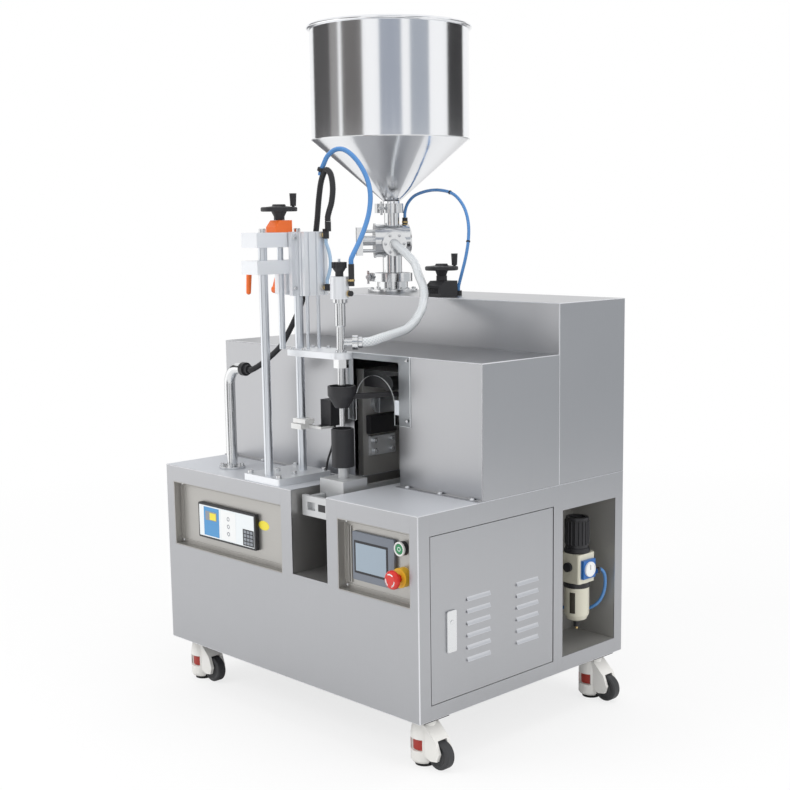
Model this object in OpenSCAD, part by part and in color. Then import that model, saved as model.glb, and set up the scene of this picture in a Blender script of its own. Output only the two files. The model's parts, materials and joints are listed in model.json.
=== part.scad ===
// Semi-automatic tube filling machine on levelling casters, with an ultrasonic tail sealer.
// Millimetres. X runs along the front from its left end, Y to the back, Z up from the floor.

/* [Cabinet] */
// Width of the base cabinet
base_w = 890; // [840:5:960]
// Depth of the base cabinet
base_d = 680; // [660:5:760]
// Height of the base cabinet
base_h = 440; // [430:5:520]
// Height of the casters under the cabinet
caster_h = 110; // [108:1:120]
// Thickness of the sheet metal
sheet = 2; // [1.5:0.5:3]
// Left edge of the drip slot in the front
slot_x = 487; // [480:1:500]
// Width of the drip slot
slot_w = 120; // [112:1:130]
// Depth of the drip slot below the deck
slot_drop = 191; // [120:1:220]
// How far the drip slot runs to the back
slot_len = 400; // [385:5:420]
// Depth of the two instrument recesses
recess_depth = 20; // [14:1:30]
// Height of the instrument recesses
recess_h = 158; // [150:1:170]
// Bottom of the instrument recesses above the cabinet's bottom
recess_z = 243; // [236:1:250]
// Left edge of the wide recess
left_recess_x = 30; // [20:1:40]
// Width of the wide recess
left_recess_w = 420; // [400:1:440]
// Left edge of the control recess
right_recess_x = 642; // [630:1:650]
// Width of the control recess
right_recess_w = 224; // [210:1:232]

/* [Housings] */
// Front of the middle housing behind the cabinet's front
mid_y = 192; // [185:1:205]
// Height of the middle housing above the deck
mid_h = 293; // [285:1:320]
// Front of the rear tower behind the cabinet's front
tower_y = 443; // [435:1:460]
// Height of the rear tower above the deck
tower_h = 406; // [395:1:430]
// Width of the sealing opening, from the left wall of the drip slot
opening_w = 151; // [140:1:160]
// Height of the lip over the sealing opening
header = 15; // [8:1:24]
// Width of the foot flange of the middle housing
foot_flange = 14; // [8:1:16]

/* [Door and air supply] */
// Front edge of the door opening
door_y = 33; // [28:1:40]
// Width of the door opening
door_w = 392; // [380:1:400]
// Bottom of the door opening above the cabinet's bottom
door_z = 33; // [25:1:45]
// Height of the door opening
door_h = 360; // [340:1:370]
// Depth of the folded edge of the door
door_fold = 15; // [12:1:20]
// Gap round the door
door_gap = 1.5; // [1:0.5:2.5]
// Length of one louver
louver_l = 72; // [60:1:80]
// Distance from one louver to the next
louver_pitch = 26.4; // [20:0.2:30]
// Number of louvers in each column
louver_n = 6; // [4:1:8]
// Front edge of the alcove
alcove_y = 457; // [452:1:462]
// Width of the alcove
alcove_w = 193; // [185:1:200]
// Bottom of the alcove above the cabinet's bottom
alcove_z = 36; // [30:1:45]
// Height of the alcove
alcove_h = 343; // [335:1:350]
// Depth of the alcove
alcove_depth = 130; // [120:1:150]
// Diameter of the filter bowl
bowl_d = 59; // [50:1:64]

/* [Filling head] */
// Column line, from the left end of the cabinet
column_x = 382; // [376:1:388]
// Front column behind the cabinet's front
column_y = 23; // [20:1:28]
// Distance between the two columns
column_pitch = 99; // [96:1:104]
// Diameter of the columns
column_d = 20; // [16:1:22]
// Diameter of the lead screw
screw_d = 14; // [12:1:16]
// Thickness of the column foot plate
foot_plate_t = 16; // [12:1:20]
// Underside of the top bar above the deck
top_bar_z = 532; // [530:1:545]
// Thickness of the top bar
top_bar_t = 33; // [28:1:36]
// Underside of the lift bar above the deck
lift_bar_z = 473; // [468:1:476]
// Thickness of the lift bar
lift_bar_t = 30; // [26:1:32]
// Width of both bars
bar_w = 58; // [52:1:60]
// Diameter of the head handwheel
head_wheel_d = 82; // [70:1:90]
// Upper face of the nozzle plate above the deck
nozzle_plate_z = 302; // [296:1:308]
// Thickness of the nozzle plate
nozzle_plate_t = 14; // [12:1:16]
// Diameter of the two rods of the lift cylinder
rod_d = 8; // [6:1:10]
// Distance between the rods
rod_pitch = 32; // [30:1:36]
// Width of the lift cylinder block
lift_block_w = 68; // [64:1:72]
// Thickness of the lift cylinder block
lift_block_t = 30; // [26:1:32]
// Height of the lift cylinder block
lift_block_h = 143; // [138:1:148]
// Nozzle axis behind the cabinet's front
nozzle_y = 104; // [102:1:106]
// Diameter of the nozzle tube
nozzle_d = 18; // [14:1:19]

/* [Tube station] */
// Diameter of the tube cup
cup_d = 51; // [46:1:54]
// Bore of the tube cup
cup_bore = 41; // [36:1:42]
// Height of the tube cup
cup_h = 87; // [80:1:90]
// Underside of the cup above the deck
cup_z = 46; // [44:1:48]
// Diameter of the funnel's rim
funnel_d = 63; // [58:1:66]
// Underside of the funnel above the deck
funnel_z = 179; // [177:1:182]
// Height of the funnel
funnel_h = 49; // [46:1:52]

/* [Hopper and valve] */
// Hopper axis from the left end of the cabinet
hopper_x = 226; // [220:1:240]
// Hopper axis behind the cabinet's front
hopper_y = 566; // [555:1:570]
// Diameter of the hopper
hopper_d = 404; // [360:2:410]
// Diameter of the rolled rim
rim_d = 10; // [8:1:12]
// Underside of the cone above the tower
cone_z = 232; // [228:1:236]
// Height of the cone
cone_h = 155; // [140:1:165]
// Height of the hopper's straight wall
wall_h = 282; // [240:1:290]
// Wall thickness of the hopper
hopper_t = 2; // [1.5:0.5:3]
// Outer diameter of the hopper's neck
neck_d = 43; // [40:1:46]
// Diameter of the valve drum
drum_d = 85; // [80:1:90]
// Length of the valve drum
drum_l = 86; // [80:1:90]
// Axis of the valve drum above the tower
drum_z = 132; // [128:1:136]
// Turn of the valve about the hopper axis
valve_turn = 53; // [45:1:60]
// Bore of the dosing pump
pump_bore = 70; // [60:1:74]

/* [Casters] */
// Diameter of the caster wheels
wheel_d = 62; // [56:1:66]
// Width of the caster wheels
wheel_w = 24; // [20:1:26]
// Distance of the wheel axle behind the swivel
trail = 48; // [46:1:52]
// Distance of each swivel from the cabinet's ends
caster_inset = 46; // [46:1:60]
// Distance of each swivel from the cabinet's front and back
caster_inset_y = 58; // [46:1:70]

/* [Hidden] */
$fn = 64;

// Clearances: welded seam, running fit, gap between moving pieces
seam = 0.1;
run = 0.05;
gap = 0.3;
eps = 0.5;

// Main levels
deck = caster_h + base_h;
mid_top = deck + mid_h;
tower_top = deck + tower_h;
slot_right = slot_x + slot_w;
slot_mid = slot_x + slot_w / 2;
slot_floor = deck - slot_drop;
opening_right = slot_x + opening_w;
recess_bottom = caster_h + recess_z;
front_split = min(slot_floor, recess_bottom);
door_bottom = caster_h + door_z;
door_back = door_y + door_w;
alcove_bottom = caster_h + alcove_z;
alcove_back_x = base_w - alcove_depth;

// Filling head
rear_column_y = column_y + column_pitch;
screw_y = column_y + column_pitch / 2;
bar_x = column_x - bar_w / 2 - 8;
bar_y = column_y - 30;
bar_l = column_pitch + 57;
rear_clamp = 38;
lift_plate_t = 10;
lift_plate_x = bar_x + bar_w;
block_x = lift_plate_x + lift_plate_t;
block_z = deck + lift_bar_z - 50;
block_mid_x = block_x + lift_block_t / 2;
block_mid_y = rear_column_y + 4;
block_y = block_mid_y - lift_block_w / 2;
rod_y = [block_mid_y - rod_pitch / 2, block_mid_y + rod_pitch / 2];
nozzle_x = slot_mid;
plate_top = deck + nozzle_plate_z;
plate_under = plate_top - nozzle_plate_t;
top_bar_top = deck + top_bar_z + top_bar_t;
indicator_h = 27;
port_turn = 45;
port_z = plate_top + 22;
actuator_d = 42;
actuator_z = plate_top + 118;
actuator_h = 49;
tip_z = deck + cup_z + cup_h + 5;

// Tube station
rail_top = deck - 12;
rail_w = 12;
rail_x = [slot_mid - 27, slot_mid + 27];
carriage_w = 80;
carriage_l = 72;
carriage_top = deck + 21;
post_d = 16;
seal_y = nozzle_y + 165;
jaw_z = deck + 150;
jaw_h = 34;
jaw_w = 56;
jaw_rest = 26;

// Controls in the right recess
panel_y = recess_depth;
button_x = right_recess_x + 187;
start_z = recess_bottom + 119;
stop_z = recess_bottom + 58;
cap_d = 22;
stop_stem_d = 16;
collar_d = 42;
sealer_w = 226;
sealer_h = 86;
sealer_x = left_recess_x + 86;
sealer_z = recess_bottom + 31;
screen_w = 130;
screen_h = 106;
screen_x = right_recess_x + 35;
screen_z = recess_bottom + 27;

// Air supply
regulator_x = base_w - 50;
regulator_y = alcove_y + 113;
bowl_z = alcove_bottom + 52;
bowl_h = 97;
body_h = 70;
body_w = 60;
knob_h = 72;
body_z = bowl_z + bowl_h;

// Hopper stack
neck_low = tower_top + cone_z - 18;
ferrule_d = 50.5;
gearbox_x = 470;
gearbox_w = 49;
gearbox_l = 59;
gearbox_h = 38;
gearbox_y = tower_y + 3;
spindle_x = gearbox_x + gearbox_w / 2;
spindle_y = gearbox_y + gearbox_l / 2;

// Casters: front left, front right, rear left, rear right
corner_x = [caster_inset, base_w - caster_inset];
corner_y = [caster_inset_y, base_d - caster_inset_y];
king_d = 16;
king_h = 12;
plate_t = 6;
swivel_top = caster_h - plate_t - gap;
axle_z = wheel_d / 2 + 0.5;
axle_d = 8;
foot_screw_d = 12;
pad_h = 12;
pad_d = 42;
dial_d = 50;
dial_z = 36;
dial_h = 24;

// Middle of the whole machine, over its hopper, its front buttons and its right wheels
stop_front = -22;
handle_proud = 4;
right_end = max(base_w + handle_proud, corner_x[1] + trail + wheel_d / 2);
frame_x = -right_end / 2;
frame_y = -(stop_front + hopper_y + hopper_d / 2 + rim_d - hopper_t) / 2;

module placed() {
  translate([frame_x, frame_y, 0]) children();
}

// A plate or block from its lowest corner and its size
module block(x, y, z, w, d, h) {
  translate([x, y, z]) cube([w, d, h]);
}

// An upright cylinder on its foot
module post(x, y, z, d, h) {
  translate([x, y, z]) cylinder(d = d, h = h);
}

// A cylinder that lies along X or along Y
module bar_x_dir(x, y, z, d, l) {
  translate([x, y, z]) rotate([0, 90, 0]) cylinder(d = d, h = l);
}
module bar_y_dir(x, y, z, d, l) {
  translate([x, y, z]) rotate([-90, 0, 0]) cylinder(d = d, h = l);
}

// An upright plate with round corners, across Y
module rounded_plate_y(x, y, z, w, t, h, r) {
  translate([x, y + t, z]) rotate([90, 0, 0]) linear_extrude(t) rounded_rect(w, h, r);
}

module rounded_rect(w, h, r) {
  union() {
    translate([r, 0]) square([w - 2 * r, h]);
    translate([0, r]) square([w, h - 2 * r]);
    for (x = [r, w - r], y = [r, h - r]) translate([x, y]) circle(r);
  }
}

// Hoses: a tube swept through a list of points, with rings square to the route
function unit(v) = v / norm(v);
function along(p, i) = unit(p[min(i + 1, len(p) - 1)] - p[max(i - 1, 0)]);
function ring(c, t, ref, r, n) =
  let (u = unit(cross(t, ref)), v = cross(t, u))
  [for (k = [0 : n - 1]) c + r * (cos(360 * k / n) * u + sin(360 * k / n) * v)];

module hose(points, d, ref, sides) {
  n = len(points);
  rings = [for (i = [0 : n - 1]) each ring(points[i], along(points, i), ref, d / 2, sides)];
  walls = [for (i = [0 : n - 2], k = [0 : sides - 1])
    [i * sides + k, i * sides + (k + 1) % sides, (i + 1) * sides + (k + 1) % sides, (i + 1) * sides + k]];
  ends = [[for (k = [sides - 1 : -1 : 0]) k], [for (k = [0 : sides - 1]) (n - 1) * sides + k]];
  polyhedron(rings, concat(walls, ends), convexity = 6);
}

// Routes of the hoses, as points above the deck
product_d = 21;
conduit_d = 14;
air_d = 8;
nozzle_air_d = 11;
cable_d = 5;
product_route = [[274, 529.8, 530], [286, 520.8, 530], [314, 506, 523], [354, 494, 506], [397, 480, 484],
  [440, 452, 456], [482, 424, 434], [512, 398, 410], [542, 360, 384], [564, 318, 360], [580, 272, 340],
  [590, 222, 329], [595, 178, 325], [592, 154, 324], [584.1, 141.1, 324], [574.1, 131.1, 324]];
conduit_route = [[247.3, 78, 245], [256, 78, 245], [270, 92, 256], [284, 114, 276], [298, 134, 300],
  [312, 147, 332], [330, 158, 372], [346, 168, 418], [362, 174, 472], [376, 177, 530], [388, 178, 590],
  [396, 178, 640], [406, 178, 680], [422, 178, 703], [440, 177, 694], [450, 174, 664], [452, 168, 632],
  [450, 162, 612], [448, 159, 598], [448, 159, 588.3]];
nozzle_air_route = [[414, 179, 716], [424, 183, 735], [442, 190, 748], [464, 196, 748], [488, 201, 734],
  [512, 204, 710], [534, 203, 680], [550, 197, 646], [558, 185, 608], [563, 166, 572], [568, 144, 542],
  [572, 124, 518], [573, 116, 506], [573, 116, 496.3]];
lift_air_route = [[451, 150, 549.7], [451, 150, 540], [456, 152, 526], [459, 154, 508], [459, 154, 488],
  [456, 152, 470], [451, 151, 458], [451, 151, 448.3]];
valve_air_route = [[246.5, 593.2, 596.2], [246.5, 593.2, 608], [254, 595, 630], [276, 598, 650],
  [312, 602, 661], [354, 604, 664], [398, 606, 657], [430, 604, 640], [458, 598, 612], [478, 588, 576],
  [488, 576, 536], [491, 563, 496], [490, 550, 458], [487, 542, 428], [487, 542, 417.7]];
regulator_route = [[872, 612.2, -232], [872, 620, -232], [874, 630, -242], [874, 635, -262], [870, 636, -288],
  [862, 630, -312], [848, 621, -328], [828, 611, -335], [808, 598, -335], [795, 583, -333], [784, 576, -332],
  [772.2, 576, -332]];
sensor_route = [[447, 168, 121.7], [446, 166, 98], [442, 161, 70], [436, 154, 42], [432, 151, 16.3]];

module hose_on_deck(route, d, ref, sides = 10) {
  translate([0, 0, deck]) hose(route, d, ref, sides);
}

// Base cabinet: bottom, walls, decks, drip slot and alcove
module base_cabinet() {
  inner_h = base_h - 2 * sheet - 2 * seam;
  low = caster_h + sheet + seam;
  side_d = base_d - 2 * sheet - 2 * seam;
  color("silver") {
    block(0, 0, caster_h, base_w, base_d, sheet);
    block(0, sheet + seam, low, sheet, side_d, inner_h);
    block(0, base_d - sheet, low, base_w, sheet, inner_h);
    right_wall(low, side_d, inner_h);
    block(0, 0, low, base_w, sheet, front_split - low - seam);
    strip(slot_x + seam, front_split, slot_w - 2 * seam, slot_floor - front_split - seam);
    fascia(0, slot_x, left_recess_x, left_recess_w);
    fascia(slot_right, base_w - slot_right, right_recess_x, right_recess_w);
    decks();
    drip_slot();
    alcove();
    hinge_blocks();
  }
}

// Four strips round a window in a sheet, each as its corner and its size in the sheet's plane
function round_window(u, v, w, h, win_u, win_v, win_w, win_h) = [
  [u, v, win_u - u, h],
  [win_u + win_w, v, u + w - win_u - win_w, h],
  [win_u + seam, v, win_w - 2 * seam, win_v - v],
  [win_u + seam, win_v + win_h, win_w - 2 * seam, v + h - win_v - win_h]];

module right_wall(low, side_d, inner_h) {
  y0 = sheet + seam;
  half = (door_back + alcove_y) / 2;
  door_side = round_window(y0, low, half - y0 - seam, inner_h, door_y, door_bottom, door_w, door_h);
  alcove_side = round_window(half, low, y0 + side_d - half, inner_h, alcove_y, alcove_bottom, alcove_w, alcove_h);
  for (s = concat(door_side, alcove_side)) block(base_w - sheet, s[0], s[1], sheet, s[2], s[3]);
}

// Front sheet above the split, left out where the recess starts at the split
module strip(x, z, w, h) {
  if (h > seam) block(x, 0, z, w, sheet, h);
}

module fascia(x, w, hole_x, hole_w) {
  h = deck - sheet - seam - front_split;
  for (s = round_window(x, front_split, w, h, hole_x, recess_bottom, hole_w, recess_h)) strip(s[0], s[1], s[2], s[3]);
}

module decks() {
  block(0, 0, deck - sheet, slot_x, base_d, sheet);
  block(slot_right, 0, deck - sheet, base_w - slot_right, base_d, sheet);
  block(slot_x + seam, slot_len + sheet + seam, deck - sheet, slot_w - 2 * seam,
    base_d - slot_len - sheet - seam, sheet);
}

module drip_slot() {
  front = sheet + seam;
  wall_h = slot_drop - sheet - seam;
  block(slot_x - sheet, front, slot_floor, sheet, slot_len - front, wall_h);
  block(slot_right, front, slot_floor, sheet, slot_len - front, wall_h);
  block(slot_x - sheet, front, slot_floor - sheet - seam, slot_w + 2 * sheet, slot_len - front, sheet);
  block(slot_x - sheet, slot_len + seam, slot_floor - sheet - seam, slot_w + 2 * sheet, sheet,
    wall_h + sheet + seam);
}

module alcove() {
  depth = alcove_depth - sheet - seam;
  block(alcove_back_x - sheet, alcove_y - sheet, alcove_bottom - sheet, sheet, alcove_w + 2 * sheet,
    alcove_h + 2 * sheet);
  for (y = [alcove_y - sheet, alcove_y + alcove_w])
    block(alcove_back_x + seam, y, alcove_bottom, depth - seam, sheet, alcove_h);
  for (z = [alcove_bottom - sheet - seam, alcove_bottom + alcove_h + seam])
    block(alcove_back_x + seam, alcove_y - sheet, z, depth - seam, alcove_w + 2 * sheet, sheet);
}

// Blocks behind the right wall that hold the two pivot pins of the door
hinge_inset = 6;
hinge_pin_d = 6;
hinge_x = base_w - hinge_inset;
hinge_y = door_back - 2 * door_gap - hinge_inset;
module hinge_blocks() {
  pin_l = 6;
  for (top = [0, 1]) {
    z = top == 1 ? door_bottom + door_h + 1 : door_bottom - 9;
    block(base_w - 16, hinge_y - 8, z, 14 - sheet, 22, 8);
    block(base_w - 4 - sheet, hinge_y + 6, z, 4 - seam, 8, 8);
    post(hinge_x, hinge_y, top == 1 ? z - pin_l - door_gap : z, hinge_pin_d, 8 + pin_l + door_gap);
  }
}

// Two folded pans that carry the instruments, with the fixed parts of the buttons
module front_panels() {
  color("gainsboro") {
    recess_pan(left_recess_x, left_recess_w);
    recess_pan(right_recess_x, right_recess_w);
  }
  color("dimgray") difference() {
    bar_y_dir(button_x, panel_y - 10, start_z, 30, 10);
    bar_y_dir(button_x, panel_y - 10 - eps, start_z, cap_d + 2 * gap, 10 + 2 * eps);
  }
  color("gold") difference() {
    bar_y_dir(button_x, panel_y - 16, stop_z, collar_d, 16);
    bar_y_dir(button_x, panel_y - 16 - eps, stop_z, stop_stem_d + 2 * gap, 16 + 2 * eps);
  }
}

module recess_pan(x, w) {
  difference() {
    block(x + seam, 0, recess_bottom + seam, w - 2 * seam, recess_depth + sheet, recess_h - 2 * seam);
    block(x + seam + sheet, -eps, recess_bottom + seam + sheet, w - 2 * seam - 2 * sheet,
      recess_depth + eps, recess_h - 2 * seam - 2 * sheet);
  }
}

// Middle housing with the sealing opening in its front
module mid_housing() {
  wall_h = mid_h - sheet - seam;
  wall_y = mid_y + sheet + seam;
  color("silver") {
    for (x = [0, base_w - sheet]) block(x, wall_y, deck, sheet, tower_y - wall_y - seam, wall_h);
    front_sheet(0, slot_x, wall_h);
    front_sheet(opening_right, base_w - opening_right, wall_h);
    block(0, mid_y, mid_top - sheet, base_w, tower_y - mid_y - seam, sheet);
    block(slot_x + seam, mid_y, mid_top - header, opening_w - 2 * seam, sheet, header - sheet - seam);
  }
}

module front_sheet(x, w, h) {
  translate([x, 0, deck]) rotate([90, 0, 90]) linear_extrude(w)
    polygon([[mid_y - foot_flange, 0], [mid_y + sheet, 0], [mid_y + sheet, h], [mid_y, h], [mid_y, sheet],
      [mid_y - foot_flange, sheet]]);
}

// Rear tower that houses the dosing pump
module rear_tower() {
  wall_h = tower_h - sheet - seam;
  side_y = tower_y + sheet + seam;
  color("silver") {
    for (y = [tower_y, base_d - sheet]) block(0, y, deck, base_w, sheet, wall_h);
    for (x = [0, base_w - sheet]) block(x, side_y, deck, sheet, base_d - side_y - sheet - seam, wall_h);
    difference() {
      block(0, tower_y, tower_top - sheet, base_w, base_d - tower_y, sheet);
      post(hopper_x, hopper_y, tower_top - sheet - eps, pump_bore + 12, sheet + 2 * eps);
    }
    post(487, 542, tower_top, 16, 11.5);
  }
}

// Sealer display in the wide recess and operator screen in the control recess
module display_screens() {
  color("black") {
    rounded_plate_y(sealer_x, panel_y - 10, sealer_z, sealer_w, 10, sealer_h, 4);
    rounded_plate_y(screen_x, panel_y - 8, screen_z, screen_w, 8, screen_h, 3);
  }
}

// Clear guard over the sealing opening, with an arch for the tube
guard_x = slot_x - 17;
guard_w = opening_w + 54;
guard_t = 3;
guard_drop = 156;
arch_w = 128;
arch_x = slot_mid + 14;
module acrylic_guard() {
  color("lightcyan", 0.4) difference() {
    block(guard_x, mid_y - guard_t - seam, mid_top - guard_drop, guard_w, guard_t, guard_drop);
    block(arch_x - arch_w / 2, mid_y - guard_t - 1, mid_top - guard_drop - eps, arch_w, guard_t + 2,
      43 + eps);
    bar_y_dir(arch_x, mid_y - guard_t - 1, mid_top - guard_drop + 43, arch_w, guard_t + 2);
  }
}

// Foot plate and top bar of the two columns
module column_plates() {
  color("gainsboro") {
    difference() {
      translate([column_x - 70, column_y - 19, deck]) linear_extrude(foot_plate_t)
        rounded_rect(128, column_pitch + 56, 4);
      column_holes(deck + 6, foot_plate_t, run);
    }
    difference() {
      block(bar_x, bar_y, deck + top_bar_z, bar_w - 2, bar_l, top_bar_t);
      column_holes(deck + top_bar_z - eps, top_bar_t - 6, run);
      post(column_x, screw_y, deck + top_bar_z - eps, screw_d + 2 * run, top_bar_t + 2 * eps);
    }
  }
}

module column_holes(z, h, play) {
  for (y = [column_y, rear_column_y]) post(column_x, y, z, column_d + 2 * play, h);
}

module columns() {
  color("lightgray") for (y = [column_y, rear_column_y])
    post(column_x, y, deck + 6, column_d, top_bar_z + top_bar_t - 13);
}

// Position indicator on the top bar, with a sloping window
module position_indicator() {
  color("orangered") difference() {
    translate([column_x - 17, screw_y, top_bar_top]) rotate([90, 0, 90]) linear_extrude(34)
      polygon([[-25, 0], [23, 0], [23, indicator_h], [-12, indicator_h], [-25, 12]]);
    post(column_x, screw_y, top_bar_top - eps, screw_d + 2 * run, indicator_h + 2 * eps);
  }
}

// Bent conduit with its foot flange and gland
pipe_x = 168;
pipe_y = 78;
pipe_d = 26;
pipe_bend = 40;
pipe_rise = 205;
module conduit_pipe() {
  color("silver") {
    post(pipe_x, pipe_y, deck, 62, 6);
    post(pipe_x, pipe_y, deck + 6, pipe_d, pipe_rise - 6);
    translate([pipe_x + pipe_bend, pipe_y, deck + pipe_rise]) rotate([90, 0, 180])
      rotate_extrude(angle = 90) translate([pipe_bend, 0]) circle(d = pipe_d);
    bar_x_dir(pipe_x + pipe_bend, pipe_y, deck + pipe_rise + pipe_bend, pipe_d, 14);
  }
  color("dimgray") bar_x_dir(pipe_x + pipe_bend + 14, pipe_y, deck + pipe_rise + pipe_bend, 32, 14);
  color("dimgray") bar_x_dir(pipe_x + pipe_bend + 28, pipe_y, deck + pipe_rise + pipe_bend, 22, 11);
}

// Filter regulator on its bracket in the alcove, and the air inlet in the alcove's back wall
inlet_r = 5.7;
inlet_l = 14;
inlet_y = alcove_y + 25;
inlet_z = alcove_bottom + 60;
outlet_x = regulator_x + 32;
outlet_z = body_z + 23;
outlet_l = 12;
module filter_regulator() {
  back = regulator_x - body_w / 2;
  side = regulator_y + body_w / 2;
  color("ivory") {
    translate([back, regulator_y - body_w / 2, body_z]) linear_extrude(body_h) rounded_rect(body_w, body_w, 6);
    bar_y_dir(regulator_x, regulator_y - body_w / 2 - 8, body_z + 38, 22, 10);
    translate([regulator_x, regulator_y, bowl_z]) rotate_extrude() polygon([[0, 0], [10, 0], [bowl_d / 2 - 6, 6],
      [bowl_d / 2, 18], [bowl_d / 2, bowl_h], [0, bowl_h]]);
    post(regulator_x, regulator_y, bowl_z - 14, 16, 14);
    post(regulator_x, regulator_y, body_z + body_h, 40, 12);
  }
  color("white") block(regulator_x + body_w / 2, regulator_y - 22, body_z + 12, 8, 44, 44);
  color("silver") block(alcove_back_x, regulator_y - 20, body_z + 14, back - alcove_back_x, 40, 6);
  color("dimgray") bar_y_dir(outlet_x, side, outlet_z, 14, outlet_l);
  color("silver") block(outlet_x - 10, side - 14, outlet_z - 8, 6, 14, 16);
  color("silver") bar_x_dir(alcove_back_x + seam, regulator_y + 6, deck - 332, 14, 12);
  color("gold") difference() {
    bar_x_dir(alcove_back_x + seam, inlet_y, inlet_z, 22, inlet_l + 2);
    bar_x_dir(alcove_back_x + seam + 2, inlet_y, inlet_z, 2 * inlet_r, inlet_l + eps);
  }
}

module regulator_knob() {
  z = body_z + body_h + 12 + gap;
  color("dimgray") difference() {
    union() {
      post(regulator_x, regulator_y, z, 54, knob_h);
      for (a = [0 : 20 : 340]) translate([regulator_x, regulator_y, z]) rotate(a) translate([27, 0, 8])
        cylinder(d = 5, h = knob_h - 16, $fn = 16);
    }
    post(regulator_x, regulator_y, z + knob_h - 4, 40, 5);
  }
}

// Dosing pump: barrel through the tower top, over its drive cylinder
pump_drop = 190;
drive_h = 156;
pump_rod_d = 16;
module pump_barrel() {
  base = tower_top - pump_drop;
  color("silver") {
    difference() {
      union() {
        post(hopper_x, hopper_y, tower_top, 130, 8);
        post(hopper_x, hopper_y, base, pump_bore + 10, pump_drop + 38);
        post(hopper_x, hopper_y, tower_top + 30, pump_bore + 22, 8);
      }
      post(hopper_x, hopper_y, base + 10, pump_bore, pump_drop + 40);
      post(hopper_x, hopper_y, base - eps, pump_rod_d + 2 * run, 11 + eps);
    }
    difference() {
      post(hopper_x, hopper_y, deck, 76, drive_h);
      post(hopper_x, hopper_y, deck + 8, 60, drive_h - 20);
      post(hopper_x, hopper_y, deck + drive_h - 13, pump_rod_d + 2 * run, 14);
    }
    for (a = [45 : 90 : 315]) translate([hopper_x, hopper_y, deck]) rotate(a) translate([52, 0, 0])
      cylinder(d = 10, h = tower_h - sheet);
    difference() {
      post(hopper_x, hopper_y, base - 12, 130, 12 - seam);
      post(hopper_x, hopper_y, base - 13, pump_rod_d + 8, 14);
      for (a = [45 : 90 : 315]) translate([hopper_x, hopper_y, base - 13]) rotate(a) translate([52, 0, 0])
        cylinder(d = 10, h = 14);
    }
  }
}

module pump_piston() {
  z = tower_top - pump_drop + 12;
  color("gray") {
    post(hopper_x, hopper_y, z, pump_bore - 2 * run, 24);
    post(hopper_x, hopper_y, deck + 12, pump_rod_d, z - deck - 12);
  }
}

// Hopper: straight wall, cone, neck and ferrule in one shell, with a rolled rim
module hopper() {
  r = hopper_d / 2;
  nr = neck_d / 2;
  color("gainsboro") translate([hopper_x, hopper_y, tower_top + cone_z]) rotate_extrude($fn = 128) {
    polygon([[nr - hopper_t, -18], [ferrule_d / 2, -18], [ferrule_d / 2, -12], [nr, -8], [nr, 0], [r, cone_h],
      [r, cone_h + wall_h], [r - hopper_t, cone_h + wall_h], [r - hopper_t, cone_h + 1], [nr - hopper_t, 1]]);
    translate([r + rim_d / 2 - hopper_t, cone_h + wall_h - rim_d / 2]) circle(d = rim_d, $fn = 24);
  }
}

// Clamp rings with wing nuts at the hopper's neck and on the pump
module clamp_ring(z, bore, t, h, turn) {
  translate([hopper_x, hopper_y, z]) rotate(turn) {
    difference() {
      union() {
        cylinder(d = bore + 2 * t, h = h);
        translate([bore / 2 - 1, -9, 0]) cube([t + 15, 18, h]);
      }
      translate([0, 0, -eps]) cylinder(d = bore + 2 * seam, h = h + 2 * eps);
    }
    translate([bore / 2 + t + 8, 9, h / 2]) rotate([-90, 0, 0]) cylinder(d = 6, h = 22);
    translate([bore / 2 + t + 8, 17, h / 2]) rotate([-90, 0, 0]) cylinder(d = 13, h = 8);
    translate([bore / 2 + t + 5, 20, h / 2 - 17]) cube([6, 4, 34]);
  }
}

module sanitary_clamps() {
  color("lightgray") {
    clamp_ring(neck_low - 12, ferrule_d, 5, 24, 250);
    clamp_ring(tower_top + 27, pump_bore + 22, 6, 22, 215);
  }
}

// Three-way valve: drum across the stack, necks, outlet and the yoke of its drive
fitting_x = 34;
module valve_body() {
  color("gainsboro") translate([hopper_x, hopper_y, tower_top]) rotate(valve_turn) {
    difference() {
      union() {
        translate([0, 0, 38 + seam]) cylinder(d = pump_bore + 22, h = 8);
        translate([0, 0, 46]) cylinder(d = 50, h = drum_z - 60);
        translate([-drum_l / 2, 0, drum_z]) rotate([0, 90, 0]) cylinder(d = drum_d, h = drum_l);
        translate([0, 0, drum_z]) cylinder(d = neck_d - 4, h = cone_z - 18 - drum_z - 8);
        translate([0, 0, cone_z - 26 - seam]) cylinder(d = ferrule_d, h = 8);
        translate([0, 0, drum_z - 8]) rotate([90, 0, 0]) cylinder(d = 30, h = 46);
        translate([0, -46, drum_z - 8]) rotate([90, 0, 0]) cylinder(d = 62, h = 14);
      }
      translate([0, 0, drum_z - 8]) rotate([90, 0, 0]) cylinder(d = 21, h = 61);
    }
    translate([-drum_l / 2 - 4, 0, drum_z]) rotate([0, 90, 0]) cylinder(d = drum_d + 4, h = 4);
    translate([-drum_l / 2 - 34, 0, drum_z]) rotate([0, 90, 0]) cylinder(d = 26, h = 30);
    translate([-drum_l / 2 - 50, -13, drum_z - 38]) cube([16, 26, 72]);
    for (z = [-26, 24]) translate([-drum_l / 2 - 34, 0, drum_z + z]) rotate([0, 90, 0]) cylinder(d = 9, h = 30);
    translate([drum_l / 2, 0, drum_z]) rotate([0, 90, 0]) cylinder(d1 = drum_d - 8, d2 = drum_d - 22, h = 5);
  }
  color("dimgray") translate([hopper_x, hopper_y, tower_top]) rotate(valve_turn) difference() {
    translate([fitting_x, 0, drum_z + drum_d / 2 - 12]) cylinder(d = 14, h = 27.5);
    translate([-drum_l, 0, drum_z]) rotate([0, 90, 0]) cylinder(d = drum_d, h = 2 * drum_l);
  }
}

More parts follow.
